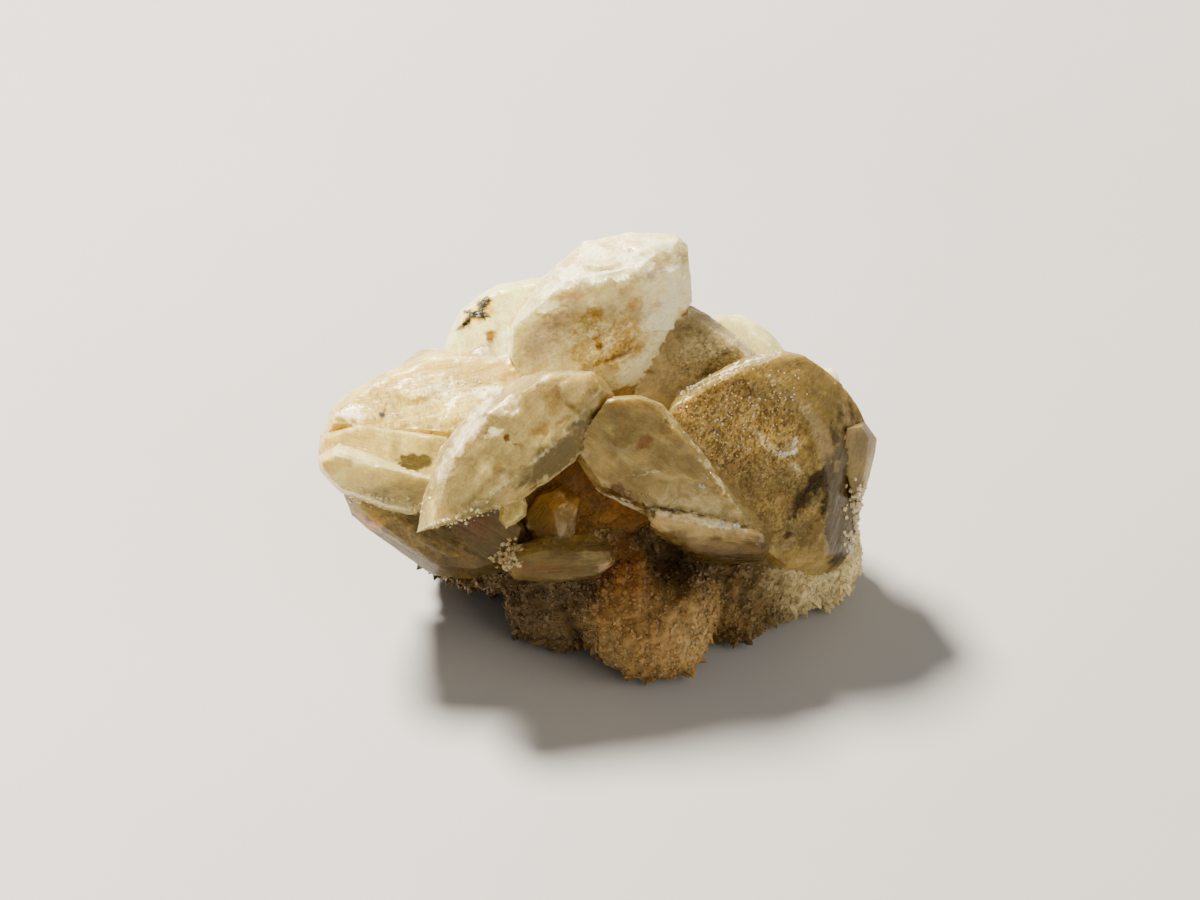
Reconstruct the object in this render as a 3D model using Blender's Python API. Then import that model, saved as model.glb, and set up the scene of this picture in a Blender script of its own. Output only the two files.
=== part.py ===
"""A hand-sized mineral specimen: bladed, honey-coloured crystals grown into one another, on a crust of druse.

It is two solids. crystal_cluster is all the large crystals, which overlap and so are one body.
druse_base is the lumpy crust that they stand in. It is cut off flat where the specimen was broken
from its rock, and rests on that cut.

Lengths are millimetres until the end of the script, which writes the meshes in metres. The front of
the specimen is -Y.
"""

import math
import random
from dataclasses import dataclass

import bmesh
import bpy
from mathutils import Matrix, Vector, noise

MM = 0.001
VIEWED_HEIGHT = 10.2    # height over the floor of the point that every crystal's viewing frame turns about
FRONT_LOOK_DOWN = 38.0  # degrees that the front crystals' frame looks down
CONTACT_GAP = 0.3       # clearance between a crystal and the druse around it
SEED = 7


@dataclass
class Crystal:
    """A convex crystal with flat faces, laid out as a drawing of it would be.

    The drawing is seen from an azimuth (0 is the front, 90 the right side) and from look_down degrees
    above the horizon. Right and up are measured on it, and out is measured towards the viewer.
    The outline is the crystal's widest section, its girdle, as corners (right, up, inset) going
    clockwise. The front face lies depth out, leans by its slopes along right and up, and is thickness
    away from the back face. The girdle lies rim behind the front face. Each side of the front face
    is inset from the girdle by the inset of the corner where that side starts, and the whole back
    face is inset by back_inset.
    """

    name: str
    depth: float
    lean: tuple
    rim: float
    thickness: float
    back_inset: float
    outline: list
    azimuth: float = 0.0
    look_down: float = FRONT_LOOK_DOWN


CRYSTALS = [
    Crystal("top block", 3.0, (0.05, 0.10), 2.2, 7.0, 1.6, [
        (-5.0, 5.3, 0.3), (-4.9, 6.7, 0.3), (-3.0, 9.4, 1.1), (-0.9, 11.2, 2.0), (1.6, 11.7, 1.8),
        (4.1, 11.6, 1.0), (4.7, 11.0, 2.6), (5.0, 7.9, 1.5), (2.4, 3.5, 1.6), (0.8, 2.9, 0.3),
        (-2.2, 2.5, 0.15), (-4.3, 3.3, 0.15),
    ]),
    Crystal("pale shoulder", 0.6, (0.30, -0.35), 1.4, 6.0, 1.2, [
        (-8.5, 5.3, 0.4), (-8.3, 6.2, 0.4), (-7.6, 7.6, 0.5), (-6.6, 8.4, 0.4), (-5.6, 9.0, 0.4),
        (-3.2, 9.4, 0.4), (-1.3, 8.6, 0.3), (-1.3, 4.6, 0.3), (-8.1, 4.0, 0.3),
    ]),
    Crystal("left slab", 2.2, (0.15, -0.50), 2.2, 5.0, 1.4, [
        (-15.1, 0.0, 0.5), (-14.9, 1.1, 0.5), (-14.5, 2.4, 0.6), (-13.5, 3.2, 0.4), (-11.9, 4.1, 0.4),
        (-10.3, 4.9, 0.3), (-9.3, 5.3, 0.3), (-4.7, 5.3, 0.3), (-3.0, 3.9, 0.3), (-3.0, 1.6, 1.6),
        (-8.6, -1.0, 2.0), (-13.8, -0.6, 1.2),
    ]),
    Crystal("left ledge", 3.4, (0.10, -0.30), 1.0, 4.0, 0.8, [
        (-15.1, -0.1, 0.3), (-15.0, 0.8, 0.3), (-12.9, 1.55, 0.3), (-8.0, 0.9, 0.3), (-7.1, -1.0, 0.4),
        (-8.6, -1.9, 0.5), (-13.5, -1.7, 0.4), (-14.8, -1.2, 0.3),
    ]),
    Crystal("left lower step", 3.8, (0.10, 0.35), 1.2, 4.0, 0.8, [
        (-15.1, -0.3, 0.4), (-13.9, 0.3, 0.6), (-8.8, -1.0, 0.4), (-8.3, -2.6, 0.3), (-10.1, -3.5, 0.3),
        (-11.5, -3.2, 0.3), (-13.9, -2.3, 0.3), (-14.6, -1.6, 0.3), (-15.0, -1.1, 0.3),
    ]),
    Crystal("front blade", 6.2, (0.05, -0.15), 1.5, 4.0, 0.9, [
        (-9.7, -4.4, 0.7), (-9.4, -2.6, 0.9), (-8.5, 0.1, 0.9), (-6.6, 2.4, 0.8), (-4.2, 3.9, 0.3),
        (-3.0, 4.2, 0.2), (-0.4, 4.2, 0.25), (0.3, 3.7, 0.4), (0.8, 2.9, 0.7), (0.2, 1.3, 1.3),
        (-1.2, -0.5, 1.3), (-2.6, -1.6, 1.1), (-4.1, -2.6, 0.25), (-6.8, -3.6, 0.2),
    ]),
    Crystal("front knob", 5.0, (0.0, 0.1), 0.7, 2.5, 0.4, [
        (-5.4, -3.7, 0.2), (-5.2, -2.6, 0.2), (-4.1, -2.1, 0.2), (-3.8, -2.9, 0.2), (-3.9, -3.5, 0.2),
        (-4.5, -3.95, 0.2), (-5.0, -4.2, 0.2),
    ]),
    Crystal("middle wedge", 4.3, (-0.10, 0.35), 1.2, 4.5, 1.0, [
        (-1.2, -0.6, 0.2), (-0.9, 1.1, 0.15), (0.3, 2.8, 0.15), (2.2, 2.9, 0.2), (3.3, 2.5, 0.35),
        (5.0, 0.5, 0.4), (6.95, -1.85, 0.4), (8.5, -3.9, 0.3), (8.8, -4.6, 0.3), (7.8, -5.0, 0.4),
        (5.4, -4.6, 0.4), (2.4, -3.5, 0.5), (-0.1, -2.3, 0.4),
    ]),
    Crystal("middle foot", 3.3, (0.0, 0.70), 0.8, 3.5, 0.6, [
        (2.2, -2.7, 1.1), (8.6, -4.2, 0.3), (9.1, -5.3, 0.3), (8.8, -6.0, 0.5), (6.5, -6.2, 0.5),
        (4.9, -5.9, 0.5), (2.7, -4.3, 0.4),
    ]),
    Crystal("right block", 2.2, (-0.20, 0.25), 2.2, 7.0, 1.6, [
        (4.1, 3.0, 0.5), (5.8, 4.0, 0.6), (7.7, 5.0, 0.6), (9.9, 5.35, 0.8), (10.9, 5.1, 1.4),
        (11.9, 4.5, 2.2), (13.1, 3.5, 2.6), (13.9, 2.4, 2.6), (14.4, 1.4, 2.4), (14.5, 0.5, 2.0),
        (14.3, -2.2, 1.6), (14.0, -4.3, 1.2), (13.6, -5.7, 1.1), (12.9, -6.5, 1.1), (11.4, -7.2, 1.2),
        (9.9, -7.4, 1.0), (9.0, -6.7, 0.15), (7.0, -4.0, 0.12), (3.4, 1.6, 0.12),
    ]),
    Crystal("upper plate", 1.2, (0.0, 0.10), 1.0, 6.0, 1.2, [
        (1.3, 2.7, 0.4), (2.2, 5.4, 0.4), (3.7, 7.4, 0.5), (4.9, 7.8, 0.5), (5.7, 7.4, 0.6),
        (7.0, 6.5, 0.5), (8.4, 5.3, 0.4), (8.6, 3.2, 0.4), (6.5, 1.6, 0.4), (2.7, 1.3, 0.4),
    ]),
    Crystal("upper right pale", -1.0, (-0.10, -0.35), 0.9, 5.0, 1.0, [
        (5.4, 5.9, 0.3), (5.7, 7.1, 0.3), (6.6, 7.4, 0.3), (7.7, 7.4, 0.4), (8.5, 7.0, 0.6),
        (9.3, 6.4, 0.5), (10.2, 5.3, 0.3), (9.9, 3.8, 0.3), (7.0, 3.2, 0.3),
    ]),
    Crystal("right chip", -1.6, (-0.2, -0.2), 0.6, 3.0, 0.5, [
        (11.4, 3.1, 0.2), (12.0, 4.4, 0.2), (12.6, 4.5, 0.2), (12.95, 4.25, 0.2), (13.2, 3.5, 0.2),
        (13.2, 2.7, 0.2), (12.1, 2.2, 0.2),
    ]),
    Crystal("right edge strip", 0.4, (-0.35, 0.20), 0.9, 5.0, 0.8, [
        (13.0, 1.4, 0.3), (14.3, 1.6, 0.4), (15.0, 0.6, 0.5), (14.9, -0.2, 0.4), (14.6, -1.5, 0.3),
        (14.3, -2.5, 0.3), (13.5, -3.0, 0.3), (12.8, -0.5, 0.3),
    ]),
    Crystal("lower left block", 1.8, (0.10, 0.50), 1.2, 6.0, 1.2, [
        (-13.8, -2.4, 0.5), (-13.2, -1.4, 0.2), (-10.8, -1.0, 0.2), (-6.4, -1.8, 0.2), (-3.9, -4.2, 0.3),
        (-4.6, -6.3, 0.5), (-7.0, -7.0, 0.6), (-9.1, -6.8, 0.7), (-10.6, -5.7, 0.7), (-12.3, -4.5, 0.7),
        (-13.4, -3.5, 0.7),
    ]),
    Crystal("sill", 2.6, (0.05, 0.35), 0.8, 3.5, 0.8, [
        (-5.3, -6.2, 0.2), (-4.9, -5.2, 0.7), (-2.6, -4.5, 0.9), (-0.4, -4.5, 0.5), (0.6, -5.0, 0.2),
        (0.9, -6.0, 0.2), (-0.2, -6.9, 0.2), (-2.6, -7.2, 0.3), (-4.6, -7.0, 0.2),
    ]),
    Crystal("hollow window", 0.7, (-0.10, 0.15), 0.6, 4.0, 0.8, [
        (-4.6, -3.0, 0.1), (-2.6, 0.6, 0.1), (0.6, 0.6, 0.1), (2.4, -2.4, 0.1), (2.8, -4.0, 0.2),
        (1.6, -4.9, 0.2), (-0.6, -5.6, 0.1), (-4.2, -5.1, 0.1),
    ]),
    Crystal("hollow shard", 1.9, (0.25, 0.10), 0.7, 3.5, 0.6, [
        (-4.2, -3.6, 0.2), (-3.4, -2.2, 0.3), (-1.9, -1.7, 0.6), (-1.1, -2.6, 0.7), (-1.3, -4.6, 0.3),
        (-3.2, -5.4, 0.2),
    ]),
    Crystal("back blade", 9.0, (0.05, -0.10), 1.6, 5.4, 1.6, [
        (-4.4, -3.0, 0.4), (-4.6, 1.0, 0.5), (-2.8, 5.0, 0.5), (0.2, 6.0, 1.6), (3.4, 4.2, 2.4),
        (5.2, 0.6, 2.6), (3.6, -5.0, 1.6), (-1.5, -6.0, 0.8),
    ], 180.0, 22.0),
    Crystal("back right block", 6.0, (0.30, -0.15), 1.4, 6.0, 1.4, [
        (-12.6, -3.2, 1.8), (-12.4, -0.6, 1.6), (-10.5, 1.0, 0.4), (-6.6, 2.2, 0.4), (-3.6, 1.2, 0.5),
        (-3.4, -3.0, 2.2), (-6.8, -7.8, 1.6), (-11.0, -6.8, 1.8),
    ], 180.0, 22.0),
    Crystal("back left block", 5.8, (-0.30, -0.20), 1.4, 6.0, 1.4, [
        (3.0, -1.0, 0.4), (3.8, 2.8, 0.4), (6.0, 3.9, 0.4), (9.2, 2.4, 1.2), (12.2, -0.8, 2.2),
        (12.4, -2.6, 2.4), (8.6, -6.8, 1.2), (4.5, -5.8, 0.5),
    ], 180.0, 22.0),
    Crystal("back shelf", 7.4, (-0.12, 0.30), 1.0, 5.0, 1.0, [
        (-4.6, -6.2, 1.0), (-3.4, -3.6, 0.4), (2.6, -2.0, 0.4), (5.0, -3.2, 0.5), (4.4, -6.6, 1.2),
        (1.4, -8.6, 1.4), (-2.4, -8.6, 1.4),
    ], 180.0, 22.0),
    Crystal("left flank blade", 11.6, (0.0, 0.15), 1.2, 6.0, 1.2, [
        (-5.8, -5.6, 0.4), (-4.8, -2.2, 0.4), (-1.4, -0.9, 0.5), (2.2, -1.9, 1.4), (3.8, -4.6, 1.8),
        (1.6, -7.6, 1.0), (-3.2, -8.2, 0.8),
    ], 250.0, 15.0),
    Crystal("right flank blade", 12.0, (0.0, 0.1), 1.4, 6.0, 1.2, [
        (-3.6, -5.6, 0.5), (-3.0, -1.6, 0.5), (0.2, -0.4, 0.6), (4.0, -1.0, 1.6), (6.0, -4.0, 1.8),
        (3.6, -7.8, 1.0), (-0.8, -8.2, 0.8),
    ], 100.0, 12.0),
    Crystal("heart", -0.2, (0.0, 0.0), 2.4, 8.8, 2.0, [
        (-8.5, -2.0, 1.5), (-8.0, 2.0, 1.5), (-3.0, 5.5, 1.5), (3.0, 6.0, 1.5), (8.5, 3.0, 1.5),
        (9.5, -1.0, 1.5), (6.0, -4.0, 1.5), (0.0, -5.0, 1.5), (-6.0, -4.0, 1.5),
    ], 0.0, 20.0),
]

# The druse, as lumps (centre, radii) and the stubby grains that cover them.
LUMPS = [
    ((1.6, 1.2, 3.4), (7.9, 6.2, 4.2)),
    ((2.6, -3.9, 2.5), (3.6, 3.7, 3.2)),
    ((-1.7, -2.2, 1.9), (2.9, 2.4, 2.2)),
    ((7.0, -2.3, 1.8), (2.6, 2.3, 2.1)),
    ((12.0, 0.7, 2.7), (1.9, 2.7, 2.8)),
    ((-5.3, 1.4, 4.6), (5.1, 4.5, 3.5)),
    ((8.6, 0.6, 3.5), (4.5, 4.7, 3.7)),
    ((-1.2, 5.2, 4.2), (7.0, 3.3, 4.4)),
    ((7.0, 3.8, 3.8), (4.7, 3.7, 3.8)),
]
LUMP_SWELL = 0.8         # most that noise lifts or sinks a lump's surface
LUMP_SWELL_SCALE = 0.35  # how fast that noise changes, per millimetre
PIT = ((3.7, -5.6, 6.2), (1.5, 3.4, 1.7))  # the dark hollow over the front lump: centre, radii
GRAIN_SPACING = 1.7
GRAIN_RADIUS = (0.8, 1.2)
GRAIN_HEIGHT = (0.5, 0.95)
GRAIN_TIP = (0.12, 0.45)    # tip radius as a share of the foot's
GRAIN_FLATTENING = (0.6, 1.0)
GRAIN_ROOT = 0.5         # how far a grain starts under the lump's surface
GRAIN_TILT = 0.25
LOWEST_GRAIN = 0.5       # height under which the crust stays bare, because the cut is there
BURIED_BY = 0.3          # how deep a grain's foot may lie in another lump or crystal


def viewing_frame(azimuth, look_down):
    """The matrix that brings (right, up, out) of a drawing into the specimen's frame."""
    turn, slope = math.radians(azimuth), math.radians(look_down)
    right = Vector((math.cos(turn), math.sin(turn), 0))
    away = Vector((-math.sin(turn), math.cos(turn), 0))
    out = Vector((0, 0, math.sin(slope))) - away * math.cos(slope)
    axes = Matrix((right, out.cross(right), out)).transposed().to_4x4()
    return Matrix.Translation((0, 0, VIEWED_HEIGHT)) @ axes


def crystal_planes(crystal, grow=0.0):
    """The planes that bound a crystal, as (point, outward normal), each moved outwards by grow."""
    corners = crystal.outline
    middle_right = sum(corner[0] for corner in corners) / len(corners)
    middle_up = sum(corner[1] for corner in corners) / len(corners)

    def under_face(right, up, behind):
        """The point at (right, up) that lies so far behind the front face."""
        rise = crystal.lean[0] * (right - middle_right) + crystal.lean[1] * (up - middle_up)
        return Vector((right, up, crystal.depth + rise - behind))

    facing = Vector((-crystal.lean[0], -crystal.lean[1], 1)).normalized()
    middle = under_face(middle_right, middle_up, crystal.thickness / 2)
    planes = [
        (under_face(middle_right, middle_up, 0), facing),
        (under_face(middle_right, middle_up, crystal.thickness), -facing),
    ]
    for (right, up, inset), (next_right, next_up, _) in zip(corners, corners[1:] + corners[:1]):
        start = under_face(right, up, crystal.rim)
        end = under_face(next_right, next_up, crystal.rim)
        inward = Vector((next_up - up, right - next_right)).normalized()
        halfway = Vector(((right + next_right) / 2, (up + next_up) / 2))
        for distance, behind in ((inset, 0), (crystal.back_inset, crystal.thickness)):
            foot = under_face(*(halfway + inward * distance), behind)
            side = (end - start).cross(foot - start).normalized()
            if side.dot(middle - start) > 0:
                side.negate()
            planes.append((start, side))
    frame = viewing_frame(crystal.azimuth, crystal.look_down)
    turn = frame.to_3x3()
    return [(frame @ (point + normal * grow), turn @ normal) for point, normal in planes]


def cut_from_block(planes):
    """The convex solid that lies inside every plane."""
    block = bmesh.new()
    bmesh.ops.create_cube(block, size=120.0)
    for point, normal in planes:
        cut = bmesh.ops.bisect_plane(
            block,
            geom=block.verts[:] + block.edges[:] + block.faces[:],
            dist=1e-5,
            plane_co=point,
            plane_no=normal,
            clear_outer=True,
        )
        rim = [part for part in cut["geom_cut"] if isinstance(part, bmesh.types.BMEdge)]
        if rim:
            bmesh.ops.contextual_create(block, geom=rim)
    bmesh.ops.recalc_face_normals(block, faces=block.faces[:])
    return block


def make_lump(centre, radii):
    """A rounded lump of crust with an uneven surface."""
    lump = bmesh.new()
    bmesh.ops.create_icosphere(lump, subdivisions=3, radius=1.0)
    for vertex in lump.verts:
        direction = vertex.co.normalized()
        place = Vector(centre) + direction * Vector(radii)
        vertex.co = place + direction * noise.noise(place * LUMP_SWELL_SCALE) * LUMP_SWELL
    return lump


def make_grain(foot, outward, dice):
    """A stubby crystal with a blunt tip that grows out of the crust."""
    radius = dice.uniform(*GRAIN_RADIUS)
    length = dice.uniform(*GRAIN_HEIGHT) + GRAIN_ROOT
    grain = bmesh.new()
    bmesh.ops.create_cone(
        grain,
        cap_ends=True,
        segments=dice.choice((4, 5, 6)),
        radius1=radius,
        radius2=radius * dice.uniform(*GRAIN_TIP),
        depth=length,
    )
    flatten = Matrix.Diagonal((1.0, dice.uniform(*GRAIN_FLATTENING), 1.0, 1.0))
    spin = Matrix.Rotation(dice.uniform(0, math.tau), 4, "Z")
    tilt = Vector([dice.gauss(0, GRAIN_TILT) for _ in range(3)])
    aim = (outward + tilt).to_track_quat("Z", "Y").to_matrix().to_4x4()
    raise_foot = Matrix.Translation((0, 0, length / 2 - GRAIN_ROOT))
    grain.transform(Matrix.Translation(foot) @ aim @ spin @ flatten @ raise_foot)
    return grain


def spots_on_lump(centre, radii):
    """Places spread evenly over a lump, with the direction outwards at each."""
    mean_radius = (radii[0] * radii[1] * radii[2]) ** (1 / 3)
    count = int(4 * math.pi * mean_radius ** 2 / GRAIN_SPACING ** 2)
    golden_angle = math.pi * (3 - math.sqrt(5))
    for i in range(count):
        height = 1 - 2 * (i + 0.5) / count
        ring = math.sqrt(1 - height * height)
        on_ball = Vector((ring * math.cos(golden_angle * i), ring * math.sin(golden_angle * i), height))
        outward = Vector([on_ball[axis] / radii[axis] for axis in range(3)]).normalized()
        yield Vector(centre) + on_ball * Vector(radii), outward


def in_lump(point, centre, radii):
    return sum(((point[axis] - centre[axis]) / (radii[axis] - BURIED_BY)) ** 2 for axis in range(3)) < 1


def in_crystal(point, planes):
    return all((point - place).dot(normal) < BURIED_BY for place, normal in planes)


def grow_crust(crust):
    """Fills the collection with the lumps and with the grains that show on them."""
    dice = random.Random(SEED)
    crystals = [crystal_planes(crystal) for crystal in CRYSTALS]
    for lump in LUMPS:
        add_guide(make_lump(*lump), "lump", crust)
        for foot, outward in spots_on_lump(*lump):
            buried = any(in_lump(foot, *other) for other in LUMPS if other is not lump)
            covered = any(in_crystal(foot, planes) for planes in crystals)
            if foot.z > LOWEST_GRAIN and not buried and not covered:
                add_guide(make_grain(foot, outward, dice), "grain", crust)


def add_guides(name):
    """A collection of objects that only take part in Booleans."""
    guides = bpy.data.collections.new(name)
    bpy.context.scene.collection.children.link(guides)
    return guides


def add_guide(shape, name, guides):
    shape.transform(Matrix.Scale(MM, 4))
    mesh = bpy.data.meshes.new(name)
    shape.to_mesh(mesh)
    shape.free()
    guide = bpy.data.objects.new(name, mesh)
    guide.hide_render = True
    guide.display_type = "WIRE"
    guides.objects.link(guide)


def combine(name, pieces, cutters, material):
    """One solid: the union of the pieces, less the cutters, without the crumbs that a cut leaves."""
    solid = bpy.data.objects.new(name, pieces.objects[0].data.copy())
    bpy.context.scene.collection.objects.link(solid)
    for operation, guides in [("UNION", pieces)] + [("DIFFERENCE", cutter) for cutter in cutters]:
        boolean = solid.modifiers.new(guides.name, "BOOLEAN")
        boolean.operation = operation
        boolean.operand_type = "COLLECTION"
        boolean.collection = guides
        boolean.solver = "EXACT"
    depsgraph = bpy.context.evaluated_depsgraph_get()
    solid.data = bpy.data.meshes.new_from_object(solid.evaluated_get(depsgraph))
    solid.modifiers.clear()
    keep_largest_body(solid.data)
    solid.data.materials.clear()
    solid.data.materials.append(material)
    return solid


def keep_largest_body(mesh):
    shape = bmesh.new()
    shape.from_mesh(mesh)
    bmesh.ops.remove_doubles(shape, verts=shape.verts[:], dist=0.002 * MM)
    unseen = set(shape.faces)
    bodies = []
    while unseen:
        body = [unseen.pop()]
        for face in body:
            near = {neighbour for edge in face.edges for neighbour in edge.link_faces} & unseen
            unseen -= near
            body.extend(near)
        bodies.append(body)
    bodies.sort(key=len)
    for crumb in bodies[:-1]:
        bmesh.ops.delete(shape, geom=crumb, context="FACES")
    shape.to_mesh(mesh)
    shape.free()


def stone_material(name, colour, roughness, transmission):
    material = bpy.data.materials.new(name)
    material.use_nodes = True
    shader = material.node_tree.nodes["Principled BSDF"]
    shader.inputs["Base Color"].default_value = (*colour, 1.0)
    shader.inputs["Roughness"].default_value = roughness
    shader.inputs["Metallic"].default_value = 0.0
    shader.inputs["Transmission Weight"].default_value = transmission
    return material


def centre_on_origin(solids):
    """Moves the meshes so that the middle of their box's underside is the origin."""
    corners = [vertex.co for solid in solids for vertex in solid.data.vertices]
    low = Vector([min(corner[axis] for corner in corners) for axis in range(3)])
    high = Vector([max(corner[axis] for corner in corners) for axis in range(3)])
    middle = (low + high) / 2
    for solid in solids:
        solid.data.transform(Matrix.Translation((-middle.x, -middle.y, -low.z)))


def main():
    for old in list(bpy.data.objects):
        bpy.data.objects.remove(old)

    crystals = add_guides("crystals")
    sockets = add_guides("sockets")
    for crystal in CRYSTALS:
        add_guide(cut_from_block(crystal_planes(crystal)), crystal.name, crystals)
        add_guide(cut_from_block(crystal_planes(crystal, CONTACT_GAP)), crystal.name, sockets)

    crust = add_guides("crust")
    grow_crust(crust)

    pit = add_guides("pit")
    add_guide(make_lump(*PIT), "pit", pit)

    rock = add_guides("rock")
    rock_block = bmesh.new()
    bmesh.ops.create_cube(rock_block, size=60.0, matrix=Matrix.Translation((0, 0, -30.0)))
    add_guide(rock_block, "rock block", rock)

    honey = stone_material("honey crystal", (0.76, 0.64, 0.42), 0.22, 0.6)
    sugar = stone_material("sugary druse", (0.78, 0.66, 0.50), 0.55, 0.15)
    cluster = combine("crystal_cluster", crystals, [pit], honey)
    base = combine("druse_base", crust, [sockets, pit, rock], sugar)
    centre_on_origin([cluster, base])


main()
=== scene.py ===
"""The look of a small mineral specimen: honey-coloured bladed crystals grown together on sugary druse.

The large crystals are drawn again here with the corners that the frame's solids have, so that each
keeps its own colour, clearness and growth lines. They are joined, remeshed finely, then stepped,
worn and chipped. Grains and flakes lie inside them. The druse is its lumps, melted into one crust,
under thousands of tiny crystals.

Shapes are worked out in millimetres in the drawings' frame, and place() brings them to the frame of
the CAD model. The front of the specimen is -Y.
"""

import math
import random
from dataclasses import dataclass

import bmesh
import bpy
import numpy as np
from mathutils import Matrix, Vector, noise
from mathutils.bvhtree import BVHTree
from mathutils.kdtree import KDTree


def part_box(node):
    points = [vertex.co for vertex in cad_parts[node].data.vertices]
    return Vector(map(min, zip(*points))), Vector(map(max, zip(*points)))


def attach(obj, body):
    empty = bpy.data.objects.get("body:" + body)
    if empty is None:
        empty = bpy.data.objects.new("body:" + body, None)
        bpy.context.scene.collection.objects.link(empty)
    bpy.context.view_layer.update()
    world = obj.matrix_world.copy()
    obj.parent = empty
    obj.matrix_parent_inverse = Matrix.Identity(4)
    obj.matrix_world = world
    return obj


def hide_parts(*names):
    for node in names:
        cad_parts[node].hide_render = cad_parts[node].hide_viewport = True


MM = 0.001
VIEWED_HEIGHT = 10.2     # height of the point that the drawings and the camera look at
FRONT_LOOK_DOWN = 38.0   # how steeply the front view looks down, in degrees
NOISE_SEED = 5

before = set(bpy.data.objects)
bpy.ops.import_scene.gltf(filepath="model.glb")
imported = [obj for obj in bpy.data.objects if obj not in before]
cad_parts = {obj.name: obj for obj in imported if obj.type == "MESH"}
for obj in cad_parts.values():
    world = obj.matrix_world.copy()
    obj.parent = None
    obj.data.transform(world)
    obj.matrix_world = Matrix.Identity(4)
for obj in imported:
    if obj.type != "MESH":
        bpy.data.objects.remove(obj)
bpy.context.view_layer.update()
noise.seed_set(NOISE_SEED)  # or noise_vector() would start from the clock


def rgb(red, green, blue):
    """A colour given as 0 to 255 sRGB values, in linear light."""
    return tuple(
        (part / 255 / 12.92) if part <= 10 else ((part / 255 + 0.055) / 1.055) ** 2.4
        for part in (red, green, blue)
    )


@dataclass
class Crystal:
    """A convex crystal with flat faces, laid out as a drawing of it would be, as in the CAD model."""

    name: str
    depth: float        # how far in front of the drawing's plane the middle of its front face lies
    lean: tuple         # how fast that face comes forward, along (right, up)
    rim: float          # how far behind the face its outline lies
    thickness: float
    back_inset: float   # how far inside the outline its back face starts
    outline: list       # (right, up, how far inside this side the front face starts)
    azimuth: float = 0.0
    look_down: float = FRONT_LOOK_DOWN


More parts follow.
